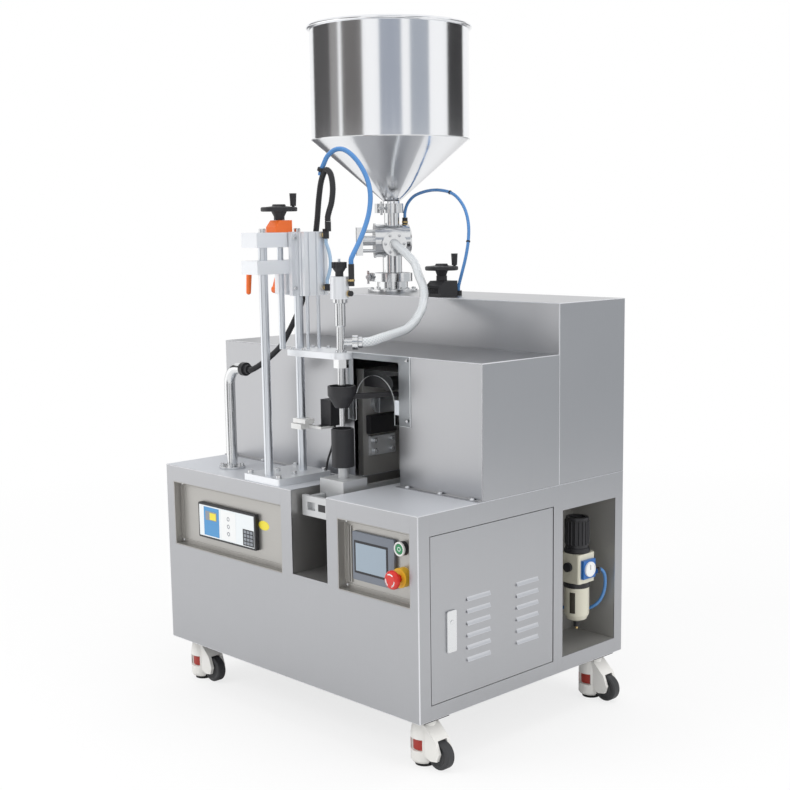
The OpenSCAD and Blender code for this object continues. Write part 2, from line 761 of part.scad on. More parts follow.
// Stroke gearbox with its ridged counter, on the tower's front edge
module stroke_gearbox() {
  color("dimgray") difference() {
    translate([gearbox_x, gearbox_y, tower_top]) rotate([90, 0, 90]) linear_extrude(gearbox_w)
      polygon([[0, 0], [gearbox_l, 0], [gearbox_l, gearbox_h], [14, gearbox_h], [0, gearbox_h - 12]]);
    for (i = [0 : 4]) block(gearbox_x + 8 + 7 * i, gearbox_y - eps, tower_top + 8, 4, 2.5, 14);
    post(spindle_x, spindle_y, tower_top + 10, screw_d + 2 * run, gearbox_h);
  }
}

// A handwheel with a dished web, spokes cut through, and a crank knob
module handwheel(d, z, knob_turn) {
  difference() {
    rotate_extrude() polygon([[0, z], [d / 2 - 12, z + 5], [d / 2 - 8, z], [d / 2 - 2, z], [d / 2, z + 2],
      [d / 2, z + 8], [d / 2 - 2, z + 10], [d / 2 - 8, z + 10], [16, z + 12], [14, z + 16], [0, z + 16]]);
    for (a = [0 : 120 : 240]) rotate(a + knob_turn + 60) translate([d / 4 + 2, 0, z - 1]) cylinder(d = 15, h = 20);
  }
  rotate(knob_turn) translate([d / 2 - 9, 0, z + 8]) {
    cylinder(d = 7, h = 8);
    translate([0, 0, 4]) cylinder(d1 = 13, d2 = 16, h = 28);
  }
}

module stroke_handwheel() {
  z0 = tower_top + 12;
  color("dimgray") translate([spindle_x, spindle_y, 0]) {
    translate([0, 0, z0]) cylinder(d = screw_d, h = gearbox_h + 20);
    translate([0, 0, tower_top + gearbox_h + gap]) cylinder(d = 26, h = 12);
    translate([0, 0, tower_top + gearbox_h + 12]) cylinder(d1 = 22, d2 = 32, h = 14);
    handwheel(80, tower_top + gearbox_h + 25, 45);
  }
}

// Lead screw with its handwheel
module head_handwheel() {
  low = deck + nozzle_plate_z;
  hub = top_bar_top + indicator_h + gap;
  color("dimgray") translate([column_x, screw_y, 0]) {
    translate([0, 0, low]) cylinder(d = screw_d, h = hub + 10 - low);
    translate([0, 0, hub]) cylinder(d = 24, h = 8);
    translate([0, 0, hub + 8]) cylinder(d1 = 24, d2 = 36, h = 12);
    handwheel(head_wheel_d, hub + 19, 45);
  }
}

// Lift bar on the columns, with the plate that carries the lift cylinder
module lift_carriage() {
  z = deck + lift_bar_z;
  color("gainsboro") difference() {
    union() {
      block(bar_x, bar_y - 2, z, bar_w, bar_l, lift_bar_t);
      block(bar_x, rear_column_y - rear_clamp, z - 48, bar_w, rear_clamp + 20, 49);
      block(lift_plate_x - eps, block_y - 12, block_z, lift_plate_t + eps, lift_block_w + 12, lift_block_h);
    }
    post(column_x, column_y, z - eps, column_d + 2 * run, lift_bar_t + 2 * eps);
    post(column_x, rear_column_y, z - 49, column_d + 2 * run, lift_bar_t + 50);
    post(column_x, screw_y, z - eps, screw_d + 2 * run, lift_bar_t + 2 * eps);
    block(bar_x - eps, column_y - 1, z - eps, column_x - bar_x, 2, lift_bar_t + 2 * eps);
  }
}

// Lift cylinder block with slots along its faces, and its two air fittings
module lift_cylinder() {
  right = block_x + lift_block_t;
  color("whitesmoke") difference() {
    block(block_x, block_y, block_z, lift_block_t, lift_block_w, lift_block_h);
    for (y = rod_y) post(block_mid_x, y, block_z - eps, rod_d + 2 * run, lift_block_h - 12);
    for (y = [-22, 0, 22]) block(right - 3, block_mid_y + y - 2.5, block_z - eps, 4, 5, lift_block_h + 2 * eps);
    for (x = [8, 18]) block(block_x + x, block_y - eps, block_z - eps, 4, 3, lift_block_h + 2 * eps);
  }
  color("dimgray") {
    bar_x_dir(right, 150, deck + 566 - 8, 13, 9);
    post(right + 8, 150, deck + 566 - 16, 14, 16);
    bar_x_dir(right, 151, deck + 440, 13, 9);
    post(right + 8, 151, deck + 433, 14, 15);
    post(448, 159, deck + 566, 14, 22);
    block(right - 6, 152, deck + 566, 12, 8, 6);
  }
}

// A clamp lever: hub and stud along X, with a slanted tapering arm
module clamp_lever(x, y, z, turn) {
  color("orangered") translate([x, y, z]) rotate([turn, 0, 0]) {
    translate([-16, 0, 0]) rotate([0, 90, 0]) cylinder(d = 17, h = 16 - gap);
    hull() {
      translate([-14, 0, -2]) sphere(d = 13, $fn = 24);
      translate([-24, 0, -58]) sphere(d = 11, $fn = 24);
    }
  }
}

module clamp_lever_front() {
  clamp_lever(bar_x, column_y, deck + lift_bar_z + 16, 4);
}

module clamp_lever_rear() {
  clamp_lever(bar_x, rear_column_y - 28, deck + lift_bar_z - 38, 155);
}

// Nozzle plate on the two rods, tapering to the nozzle
module nozzle_plate() {
  x0 = block_x - 17;
  y0 = block_y - 18;
  color("gainsboro") {
    difference() {
      translate([0, 0, plate_under]) linear_extrude(nozzle_plate_t) union() {
        polygon([[x0, y0], [x0 + 40, y0], [nozzle_x - 6, nozzle_y - 24], [nozzle_x, nozzle_y + 24],
          [x0 + 60, block_mid_y + 40], [x0, block_mid_y + 40]]);
        translate([nozzle_x, nozzle_y]) circle(24);
      }
      post(nozzle_x, nozzle_y, plate_under - eps, nozzle_d + 2 * seam, nozzle_plate_t + 2 * eps);
    }
    for (y = rod_y) post(block_mid_x, y, plate_top - eps, rod_d, block_z + 8 - plate_top + eps);
  }
}

// Filling nozzle with its cut-off cylinder and the hose port
module filling_nozzle() {
  color("lightgray") translate([nozzle_x, nozzle_y, 0]) {
    translate([0, 0, tip_z]) rotate_extrude() polygon([[4, 0], [6, 0], [6, 62], [nozzle_d / 2, 68],
      [nozzle_d / 2, plate_top - tip_z], [4, plate_top - tip_z]]);
    difference() {
      translate([0, 0, plate_under - 20]) cylinder(d = 34, h = 20 - seam, $fn = 6);
      translate([0, 0, plate_under - 21]) cylinder(d = nozzle_d, h = 22);
    }
    translate([0, 0, plate_top]) rotate_extrude() polygon([[0, 0], [13, 0], [13, 4], [9.5, 6], [9.5, 56],
      [12, 60], [12, 108], [17, 110], [17, 118], [0, 118]]);
    rotate(port_turn) translate([8, 0, port_z]) rotate([0, 90, 0]) cylinder(d = 17, h = 18);
    rotate(port_turn) translate([26, 0, port_z]) rotate([0, 90, 0]) cylinder(d = 32, h = 12);
  }
  color("whitesmoke") difference() {
    post(nozzle_x, nozzle_y, actuator_z, actuator_d, actuator_h);
    post(nozzle_x, nozzle_y, actuator_z + actuator_h - 12, 10 + 2 * run, 13);
  }
  color("dimgray") {
    bar_x_dir(nozzle_x + 18, 116, actuator_z + 34, 12, 10);
    post(573, 116, actuator_z + 28, 13, deck + 496 - actuator_z - 28);
    bar_x_dir(nozzle_x + 18, 112, actuator_z + 12, 12, 12);
  }
}

module nozzle_knob() {
  z = actuator_z + actuator_h + gap;
  color("dimgray") translate([nozzle_x, nozzle_y, z]) {
    translate([0, 0, -12]) cylinder(d = 10, h = 13);
    cylinder(d = 18, h = 10);
    translate([0, 0, 10]) cylinder(d1 = 20, d2 = 30, h = 8);
    translate([0, 0, 18]) cylinder(d = 30, h = 13);
    for (a = [0 : 30 : 330]) rotate(a) translate([15, 0, 18]) cylinder(d = 4, h = 13, $fn = 16);
    translate([0, 0, 31]) cylinder(d = 6, h = 7);
  }
}

// Slide bed in the drip slot: profile, two rails, end cap and wall brackets
module slide_rails() {
  bed_w = 92;
  bed_x = slot_mid - bed_w / 2;
  bed_y = 34;
  bed_l = slot_len - bed_y;
  bed_top = rail_top - 12;
  color("gray") {
    block(bed_x, bed_y, bed_top - 28, bed_w, bed_l, 28);
    for (x = rail_x) block(x - rail_w / 2, bed_y, bed_top, rail_w, bed_l, 12);
    difference() {
      block(bed_x - 4, bed_y - 10, bed_top - 34, bed_w + 8, 10, 46);
      block(bed_x + 14, bed_y - 11, bed_top - 20, 26, 12, 18);
    }
    for (y = [70, slot_len - 60]) {
      block(slot_x, y, bed_top - 40, slot_w, 30, 12);
    }
  }
}

// Carriage that takes the tube cup into the sealer
module tube_carriage() {
  z = rail_top - 8;
  color("darkgray") {
    difference() {
      block(slot_mid - carriage_w / 2, nozzle_y - carriage_l / 2, z, carriage_w, carriage_l, carriage_top - z);
      for (x = rail_x) block(x - rail_w / 2 - gap, 0, z - eps, rail_w + 2 * gap, 300, 8 + gap + eps);
    }
    post(slot_mid, nozzle_y, carriage_top - eps, 24, deck + cup_z - carriage_top - gap + eps);
    post(slot_mid, nozzle_y, deck + cup_z - 1, post_d, 10);
  }
}

module tube_cup() {
  color("dimgray") translate([slot_mid, nozzle_y, deck + cup_z]) difference() {
    rotate_extrude() polygon([[0, 0], [cup_d / 2 - 2, 0], [cup_d / 2, 2], [cup_d / 2, cup_h - 2],
      [cup_d / 2 - 2, cup_h], [0, cup_h]]);
    translate([0, 0, 14]) cylinder(d = cup_bore, h = cup_h);
    translate([0, 0, -eps]) cylinder(d = post_d + 2 * run, h = 10 + eps);
  }
}

// Frame of the sealer inside the middle housing
seal_right = opening_right - 6;
stack_d = 40;
module seal_frame() {
  back_y = seal_y + 66;
  side_y = seal_y - 46;
  color("dimgray") {
    block(slot_x - 4, back_y, deck, seal_right - slot_x + 4, 14, 262);
    block(seal_right - 14, side_y, deck, 14, back_y - side_y, 250);
    difference() {
      block(slot_x - 22, side_y, deck, 18, back_y - side_y + 14, 250);
      bar_x_dir(slot_x - 23, seal_y, jaw_z + jaw_h / 2, stack_d + 2 * run, 20);
    }
    block(slot_x - 4, seal_y - 40, deck + 210, seal_right - slot_x - 10, back_y - seal_y + 40, 40);
    bar_y_dir(seal_right - 32, seal_y - 74, deck + 228, 33, 36);
    jaw_rods(8, seal_right - 14 - slot_mid - jaw_rest - 6);
    for (x = [slot_mid - 46, slot_mid + 40]) block(x, back_y - 12, deck + 60, 24, 12, 60);
  }
}

module jaw_rods(d, l) {
  for (z = [jaw_z + 8, jaw_z + jaw_h - 8], y = [seal_y - 20, seal_y + 20])
    bar_x_dir(slot_mid + jaw_rest + 6, y, z, d, l);
}

// Funnel that centres the tube's mouth, on its arm
funnel_bore = 26;
module funnel_guide() {
  arm_z = deck + funnel_z + 20;
  color("dimgray") difference() {
    union() {
      translate([slot_mid, nozzle_y, deck + funnel_z]) rotate_extrude() polygon([[0, 0], [funnel_bore / 2 + 2.5, 0],
        [funnel_d / 2, 28], [funnel_d / 2, funnel_h], [0, funnel_h]]);
      translate([0, 0, arm_z]) linear_extrude(11) polygon([[slot_mid + 6, nozzle_y + 16],
        [slot_mid + 24, nozzle_y + 4], [seal_right - 16, seal_y - 60], [seal_right, seal_y - 46 - seam],
        [seal_right - 16, seal_y - 46 - seam]]);
      block(seal_right - 14, seal_y - 56, deck + 150, 14, 10 - seam, 86);
    }
    translate([slot_mid, nozzle_y, deck + funnel_z - eps]) cylinder(d = funnel_bore, h = funnel_h + 1);
    translate([slot_mid, nozzle_y, deck + funnel_z + 14]) cylinder(d1 = funnel_bore, d2 = funnel_d - 10, h = 22);
    translate([slot_mid, nozzle_y, deck + funnel_z + 36 - 0.01]) cylinder(d = funnel_d - 10, h = funnel_h);
  }
}

// Colour-mark sensor on two clamps on the rear column
module eye_sensor() {
  z = deck + 122;
  color("dimgray") block(416, 152, z, 36, 26, 60);
  color("white") {
    difference() {
      union() {
        block(column_x - 18, rear_column_y - 17, z - 8, 36, 34, 12);
        block(column_x - 14, rear_column_y - 14, z + 6, 44, 28, 10);
        block(column_x + 10, rear_column_y + 8, z - 6, 36, 10, 6);
        block(column_x + 30, rear_column_y + 8, z - 6, 30, 40, 6 - seam);
      }
      post(column_x, rear_column_y, z - 10, column_d + 2 * seam, 40);
    }
  }
}

// Jaws of the sealer: the anvil on the right and the sonotrode on the left
module anvil_jaw() {
  color("gray") difference() {
    block(slot_mid + jaw_rest, seal_y - jaw_w / 2, jaw_z, 34, jaw_w, jaw_h);
    jaw_rods(8 + 2 * run, 40);
  }
}

module ultrasonic_horn() {
  x = slot_mid - jaw_rest;
  color("gray") {
    block(x - 18, seal_y - jaw_w / 2, jaw_z, 18, jaw_w, jaw_h);
    bar_x_dir(slot_x - 80, seal_y, jaw_z + jaw_h / 2, stack_d, x - 18 - slot_x + 80);
  }
}

// Mounting board behind the door, with its contactors and supplies
module electrical_panel() {
  x = slot_right + sheet + 12;
  z = caster_h + 50;
  color("lightgray") {
    block(x, 60, z, 3, 330, 330);
    for (y = [75, 370], dz = [20, 300]) bar_x_dir(slot_right + sheet, y, z + dz, 10, 12);
  }
  color("gray") {
    block(x + 3, 80, z + 20, 60, 120, 90);
    block(x + 3, 220, z + 20, 70, 150, 110);
    for (i = [0 : 4]) block(x + 3, 80 + 58 * i, z + 160, 50, 44, 70);
    block(x + 3, 80, z + 270, 30, 280, 36);
  }
}

// Door: a folded pan with louvers and a latch bore
latch_y = door_y + 60;
latch_z = door_bottom + 148;
latch_shaft_d = 8;
handle_l = 90;
module side_door() {
  y0 = door_y + door_gap;
  y1 = door_back - 2 * door_gap;
  z0 = door_bottom + door_gap;
  h = door_h - 2 * door_gap;
  color("silver") difference() {
    union() {
      difference() {
        block(base_w - door_fold, y0, z0, door_fold, y1 - y0, h);
        block(base_w - door_fold - eps, y0 + sheet, z0 + sheet, door_fold - sheet + eps, y1 - y0 - 2 * sheet,
          h - 2 * sheet);
      }
      louvers() louver_hood();
    }
    louvers() louver_slot();
    for (z = [z0, z0 + h - sheet]) post(hinge_x, hinge_y, z - eps, hinge_pin_d + 2 * run, sheet + 2 * eps);
    bar_x_dir(base_w - sheet - eps, latch_y, latch_z, latch_shaft_d + 2 * run, sheet + 2 * eps);
  }
}

module louvers() {
  for (y = [latch_y + handle_l / 2 + 3, latch_y + handle_l / 2 + 160], i = [0 : louver_n - 1])
    translate([base_w, y, door_bottom + 70 + louver_pitch * i]) children();
}

module louver_hood() {
  translate([0, louver_l, 0]) rotate([90, 0, 0]) linear_extrude(louver_l)
    polygon([[-0.5, 9], [0, 9], [3.6, 1.5], [3.6, 0], [2.6, 0], [2.6, 1.2], [-0.5, 7.5]]);
}

module louver_slot() {
  translate([-sheet - eps, 2, 0]) cube([sheet + eps, louver_l - 4, 6]);
}

module door_latch() {
  color("lightgray") {
    translate([base_w + gap, latch_y - 14, latch_z - handle_l / 2]) rotate([90, 0, 90])
      linear_extrude(handle_proud - gap) rounded_rect(28, handle_l, 4);
    bar_x_dir(base_w - 24, latch_y, latch_z, latch_shaft_d, 24 + gap + eps);
    block(base_w - 24, latch_y - 8, latch_z - 8, 4, 16, 80);
  }
}

// Push buttons in the control recess
module start_button() {
  color("seagreen") bar_y_dir(button_x, panel_y - 15, start_z, cap_d, 11);
}

module estop_button() {
  color("firebrick") {
    translate([button_x, stop_front, stop_z]) rotate([-90, 0, 0]) rotate_extrude()
      polygon([[0, 0], [14, 0], [18, 2], [20, 6], [20, 11], [15, 14], [0, 14]]);
    bar_y_dir(button_x, stop_front + 13, stop_z, stop_stem_d, 22);
  }
}

// Levelling casters: fixed plate, swivel housing, wheel and foot
module caster_plates() {
  color("gray") for (x = corner_x, y = corner_y) {
    block(x - 37, y - 37, caster_h - plate_t, 74, 74, plate_t);
    post(x, y, swivel_top - king_h, king_d, king_h + 1);
  }
}

module caster_housing(x, y) {
  half = wheel_w / 2;
  cheek = half + 9;
  color("whitesmoke") translate([x, y, 0]) difference() {
    union() {
      translate([0, 0, 8]) rotate_extrude() polygon([[0, 0], [26, 0], [30, 5], [30, 62], [24, swivel_top - 8],
        [0, swivel_top - 8]]);
      translate([0, cheek, 0]) rotate([90, 0, 0]) linear_extrude(2 * cheek) polygon([[0, 34], [0, swivel_top - 10],
        [22, swivel_top - 10], [trail + 4, axle_z + 34], [trail + 14, axle_z + 8], [trail + 8, axle_z - 9],
        [trail - 10, axle_z - 12]]);
    }
    translate([trail, -half - 1, axle_z]) rotate([-90, 0, 0]) cylinder(d = wheel_d + 6, h = wheel_w + 2);
    translate([trail - wheel_d / 2 - 3, -half - 1, 0]) cube([wheel_d + 6, wheel_w + 2, axle_z]);
    translate([0, 0, swivel_top - king_h - gap]) cylinder(d = king_d + 2 * run, h = king_h + 1);
    cylinder(d = foot_screw_d + 2 * run, h = 66);
    cylinder(d = pad_d + 4, h = pad_h + 2);
    for (side = [-1, 1]) translate([-18, side * 27 - 6, dial_z - 1]) cube([36, 12, dial_h + 2]);
  }
  color("firebrick") translate([x, y, dial_z]) difference() {
    cylinder(d = dial_d, h = dial_h);
    translate([0, 0, -eps]) cylinder(d = foot_screw_d + 2 * run, h = dial_h + 2 * eps);
    translate([14, -half - 1, -eps]) cube([20, wheel_w + 2, dial_h + 2 * eps]);
  }
  color("gray") translate([x + trail, y - cheek, axle_z]) rotate([-90, 0, 0]) cylinder(d = axle_d, h = 2 * cheek);
}

module caster_wheel(x, y) {
  r = wheel_d / 2;
  color("dimgray") translate([x + trail, y - wheel_w / 2, axle_z]) rotate([-90, 0, 0]) rotate_extrude()
    polygon([[axle_d / 2 + run, 0], [14, 0], [16, 2], [r - 9, 2], [r - 7, 0], [r - 3, 0], [r, 3],
      [r, wheel_w - 3], [r - 3, wheel_w], [r - 7, wheel_w], [r - 9, wheel_w - 2], [16, wheel_w - 2],
      [14, wheel_w], [axle_d / 2 + run, wheel_w]]);
}

module caster_foot(x, y) {
  color("black") translate([x, y, 0]) {
    cylinder(d = pad_d, h = pad_h);
    cylinder(d = foot_screw_d, h = 62);
  }
}

module caster_fl() { caster_housing(corner_x[0], corner_y[0]); }
module caster_fr() { caster_housing(corner_x[1], corner_y[0]); }
module caster_rl() { caster_housing(corner_x[0], corner_y[1]); }
module caster_rr() { caster_housing(corner_x[1], corner_y[1]); }
module wheel_fl() { caster_wheel(corner_x[0], corner_y[0]); }
module wheel_fr() { caster_wheel(corner_x[1], corner_y[0]); }
module wheel_rl() { caster_wheel(corner_x[0], corner_y[1]); }
module wheel_rr() { caster_wheel(corner_x[1], corner_y[1]); }
module foot_fl() { caster_foot(corner_x[0], corner_y[0]); }
module foot_fr() { caster_foot(corner_x[1], corner_y[0]); }
module foot_rl() { caster_foot(corner_x[0], corner_y[1]); }
module foot_rr() { caster_foot(corner_x[1], corner_y[1]); }

// Hoses and cables
module product_hose() { color("azure", 0.6) hose_on_deck(product_route, product_d, [0.4, 0.5, 1]); }
module conduit_hose() { color("dimgray") hose_on_deck(conduit_route, conduit_d, [0.3, -1, 0.1]); }
module nozzle_air_hose() { color("steelblue") hose_on_deck(nozzle_air_route, nozzle_air_d, [0.5, -1, 0.2]); }
module lift_air_hose() { color("lightsteelblue") hose_on_deck(lift_air_route, air_d, [0, 1, 0]); }
module valve_air_hose() { color("steelblue") hose_on_deck(valve_air_route, air_d, [0.2, -1, 0.1]); }
module regulator_hose() { color("steelblue") hose_on_deck(regulator_route, air_d, [0.6, -1, 0.1]); }
module sensor_cable() { color("dimgray") hose_on_deck(sensor_route, cable_d, [0, 1, 0.2]); }

placed() base_cabinet();
placed() front_panels();
placed() mid_housing();
placed() rear_tower();
placed() display_screens();
placed() acrylic_guard();
placed() column_plates();
placed() columns();
placed() position_indicator();
placed() conduit_pipe();
placed() filter_regulator();
placed() pump_barrel();
placed() hopper();
placed() sanitary_clamps();
placed() valve_body();
placed() stroke_gearbox();
placed() slide_rails();
placed() seal_frame();
placed() funnel_guide();
placed() eye_sensor();
placed() caster_plates();
placed() electrical_panel();
placed() lift_carriage();
placed() lift_cylinder();
placed() head_handwheel();
placed() clamp_lever_front();
placed() clamp_lever_rear();
placed() nozzle_plate();
placed() filling_nozzle();
placed() nozzle_knob();
placed() tube_carriage();
placed() tube_cup();
placed() side_door();
placed() door_latch();
placed() start_button();
placed() estop_button();
placed() stroke_handwheel();
placed() regulator_knob();
placed() pump_piston();
placed() anvil_jaw();
placed() ultrasonic_horn();
placed() product_hose();
placed() conduit_hose();
placed() nozzle_air_hose();
placed() lift_air_hose();
placed() valve_air_hose();
placed() regulator_hose();
placed() sensor_cable();
placed() caster_fl();
placed() caster_fr();
placed() caster_rl();
placed() caster_rr();
placed() wheel_fl();
placed() wheel_fr();
placed() wheel_rl();
placed() wheel_rr();
placed() foot_fl();
placed() foot_fr();
placed() foot_rl();
placed() foot_rr();
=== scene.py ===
import bpy
import json
import math
from mathutils import Matrix, Vector


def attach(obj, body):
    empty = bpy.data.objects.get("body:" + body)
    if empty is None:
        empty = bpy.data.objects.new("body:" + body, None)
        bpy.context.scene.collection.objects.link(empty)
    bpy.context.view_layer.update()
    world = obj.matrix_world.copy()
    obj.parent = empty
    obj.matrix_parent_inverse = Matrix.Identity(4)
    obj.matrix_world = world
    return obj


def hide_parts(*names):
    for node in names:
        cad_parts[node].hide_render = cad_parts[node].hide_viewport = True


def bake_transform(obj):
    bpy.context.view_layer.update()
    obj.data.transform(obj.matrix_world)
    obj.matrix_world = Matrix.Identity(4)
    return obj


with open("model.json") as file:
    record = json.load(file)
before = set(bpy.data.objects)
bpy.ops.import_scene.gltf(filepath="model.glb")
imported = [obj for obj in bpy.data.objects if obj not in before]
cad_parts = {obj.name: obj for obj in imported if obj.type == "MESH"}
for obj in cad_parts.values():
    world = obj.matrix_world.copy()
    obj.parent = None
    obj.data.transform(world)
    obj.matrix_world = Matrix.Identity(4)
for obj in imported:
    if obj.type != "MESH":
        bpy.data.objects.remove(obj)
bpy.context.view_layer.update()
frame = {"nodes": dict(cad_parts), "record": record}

# The machine is laid out in millimetres from its left end, its front and the floor.
layout = {
    "middleX": 461.5,
    "middleY": 377.0,
    "caster": 110.0,
    "deck": 550.0,
    "tower": 956.0,
    "towerFront": 443.0,
    "housing": 843.0,
    "housingFront": 192.0,
    "width": 890.0,
    "depth": 680.0,
}
mm = 0.001
deckZ, towerZ = layout["deck"], layout["tower"]
bodyOf = {n: body for body, nodes in frame["record"]["behaviour"]["bodies"].items() for n in nodes}


# Upright middle lines that several pieces share, as x and y
hopperAxis = (226, 566)
nozzleAxis = (547, 104)
valveFitting = (246.5, 593.2)
conduitFoot = (168, 78)


def at(x, y, z):
    return Vector(((x - layout["middleX"]) * mm, (y - layout["middleY"]) * mm, z * mm))


def onDeck(x, y, z):
    return at(x, y, deckZ + z)


def back(p):
    return (p.x / mm + layout["middleX"], p.y / mm + layout["middleY"], p.z / mm)


def clearSelection():
    if bpy.context.object and bpy.context.object.mode != "OBJECT":
        bpy.ops.object.mode_set(mode="OBJECT")
    bpy.ops.object.select_all(action="DESELECT")


def pick(piece):
    clearSelection()
    piece.select_set(True)
    bpy.context.view_layer.objects.active = piece


def useModifier(piece, kind, **values):
    pick(piece)
    modifier = piece.modifiers.new(kind.title(), kind)
    for key, value in values.items():
        setattr(modifier, key, value)
    bpy.ops.object.modifier_apply(modifier=modifier.name)


def roundEdges(piece, width, steps=2, angle=32):
    useModifier(piece, "BEVEL", width=width * mm, segments=steps, limit_method="ANGLE",
                angle_limit=math.radians(angle), harden_normals=False, use_clamp_overlap=True)


def smoothByAngle(piece, angle=35):
    pick(piece)
    bpy.ops.object.shade_smooth_by_angle(angle=math.radians(angle))


def evenShading(piece, angle=35):
    smoothByAngle(piece, angle)
    useModifier(piece, "WEIGHTED_NORMAL", keep_sharp=True, weight=60)


def settle(piece):
    pick(piece)
    bpy.ops.object.transform_apply(location=True, rotation=True, scale=True)
    return piece


# Finishes: grain comes from noise on object coordinates, stretched along the brushing where there is any.
def makeFinish(name, tone, rough, metal=0.0, grain=(400, 400, 400), shift=0.05, roughShift=0.06, bump=0.05,
               depth=0.0002, coat=0.0, clear=0.0, ior=1.45):
    finish = bpy.data.materials.new(name)
    finish.use_nodes = True
    tree = finish.node_tree
    shader = tree.nodes["Principled BSDF"]
    shader.inputs["Metallic"].default_value = metal
    shader.inputs["Coat Weight"].default_value = coat
    shader.inputs["Transmission Weight"].default_value = clear
    shader.inputs["IOR"].default_value = ior
    place = tree.nodes.new("ShaderNodeTexCoord")
    turn = tree.nodes.new("ShaderNodeMapping")
    turn.inputs["Scale"].default_value = grain
    noise = tree.nodes.new("ShaderNodeTexNoise")
    noise.inputs["Scale"].default_value = 1.0
    noise.inputs["Detail"].default_value = 4.0
    cloud = tree.nodes.new("ShaderNodeTexNoise")
    cloud.inputs["Scale"].default_value = 3.0
    cloud.inputs["Detail"].default_value = 3.0
    blendTone = tree.nodes.new("ShaderNodeMix")
    blendTone.data_type = "RGBA"
    blendTone.inputs["A"].default_value = [c * (1 - shift) for c in tone] + [1]
    blendTone.inputs["B"].default_value = [min(1, c * (1 + shift)) for c in tone] + [1]
    both = tree.nodes.new("ShaderNodeMath")
    both.operation = "MULTIPLY_ADD"
    both.inputs[1].default_value = 0.5
    half = tree.nodes.new("ShaderNodeMath")
    half.operation = "MULTIPLY"
    half.inputs[1].default_value = 0.5
    roughRange = tree.nodes.new("ShaderNodeMapRange")
    roughRange.inputs["To Min"].default_value = max(0.02, rough - roughShift)
    roughRange.inputs["To Max"].default_value = min(1, rough + roughShift)
    press = tree.nodes.new("ShaderNodeBump")
    press.inputs["Strength"].default_value = bump
    press.inputs["Distance"].default_value = depth
    link = tree.links.new
    link(place.outputs["Object"], turn.inputs["Vector"])
    link(turn.outputs["Vector"], noise.inputs["Vector"])
    link(place.outputs["Object"], cloud.inputs["Vector"])
    link(cloud.outputs["Fac"], half.inputs[0])
    link(noise.outputs["Fac"], both.inputs[0])
    link(half.outputs["Value"], both.inputs[2])
    link(both.outputs["Value"], blendTone.inputs["Factor"])
    link(blendTone.outputs["Result"], shader.inputs["Base Color"])
    link(both.outputs["Value"], roughRange.inputs["Value"])
    link(roughRange.outputs["Result"], shader.inputs["Roughness"])
    link(noise.outputs["Fac"], press.inputs["Height"])
    link(press.outputs["Normal"], shader.inputs["Normal"])
    return finish


upright = (900, 900, 12)
lengthwise = (12, 900, 900)
fine = (900, 900, 900)
medium = (700, 700, 700)
soft = (500, 500, 500)
coarse = (300, 300, 300)
still = (8, 8, 8)
steelSheet = makeFinish("brushedSteelSheet", (0.44, 0.446, 0.463), 0.30, 1.0, upright, 0.05, 0.05, 0.05)
# Shaded copy of the sheet for the alcove's faces: painted shade in the recess.
steelAlcoveShade = makeFinish("shadedSteelSheet", (0.40, 0.395, 0.38), 0.42, 0.5, upright, 0.06, 0.05, 0.05)
# Copy of the sheet tuned for the slot's faces: painted shade in the slot.
steelSlotShade = makeFinish("slotShadeSteelSheet", (0.42, 0.415, 0.41), 0.40, 0.8, upright, 0.06, 0.05, 0.05)
# Paler copy of the sheet for the folded corners: a painted highlight along each fold.
steelFoldHighlight = makeFinish("foldHighlightSteel", (0.78, 0.79, 0.82), 0.30, 0.9, lengthwise, 0.05, 0.05, 0.03)
# The seal frame's grey, raised to stand in for light that its housing keeps out: partly its own colour, partly
# painted light.
sealGreyLit = makeFinish("greySealSteelWithPaintedLight", (0.40, 0.395, 0.385), 0.36, 0.25, upright, 0.08, 0.06, 0.05)
# Paler copy of the sheet for the deck's upward faces: painted light on the top.
steelDeckLit = makeFinish("litDeckTopSheet", (0.64, 0.66, 0.70), 0.38, 0.4, lengthwise, 0.05, 0.05, 0.05)
# Paler copy of the sheet for the louvers' outer faces: a painted highlight.
steelLit = makeFinish("louverHighlightSteel", (0.62, 0.63, 0.66), 0.32, 0.8, lengthwise, 0.04, 0.05, 0.03)
steelPanel = makeFinish("satinPanelSheet", (0.46, 0.45, 0.43), 0.36, 0.8, lengthwise, 0.05, 0.05, 0.05)
mirrorSteel = makeFinish("polishedHopperSteel", (0.88, 0.89, 0.91), 0.15, 1.0, (90, 90, 5), 0.04, 0.04, 0.02)
castSteel = makeFinish("polishedFittingSteel", (0.72, 0.73, 0.74), 0.15, 1.0, coarse, 0.05, 0.06, 0.04)
rodSteel = makeFinish("groundRodSteel", (0.74, 0.77, 0.81), 0.30, 1.0, (500, 500, 30), 0.04, 0.04, 0.005)
paleAluminium = makeFinish("paleAnodisedAluminium", (0.80, 0.82, 0.85), 0.38, 0.62, medium, 0.03, 0.05, 0.05)
greyAluminium = makeFinish("greyCarriageAluminium", (0.58, 0.59, 0.60), 0.36, 0.6, medium, 0.05, 0.05, 0.05)
brassFinish = makeFinish("fittingBrass", (0.70, 0.52, 0.24), 0.26, 1.0, (400, 400, 400), 0.06, 0.05, 0.03)
blackPlastic = makeFinish("mouldedBlackPlastic", (0.022, 0.022, 0.025), 0.42, 0.0, fine, 0.2, 0.08, 0.10)
blackMetal = makeFinish("blackOxideMetal", (0.030, 0.031, 0.034), 0.36, 0.3, (600, 600, 600), 0.2, 0.08, 0.06)
rubberFinish = makeFinish("footRubber", (0.018, 0.018, 0.018), 0.72, 0.0, fine, 0.2, 0.08, 0.15)
wheelNylon = makeFinish("wheelNylon", (0.040, 0.041, 0.044), 0.46, 0.0, medium, 0.2, 0.08, 0.10)
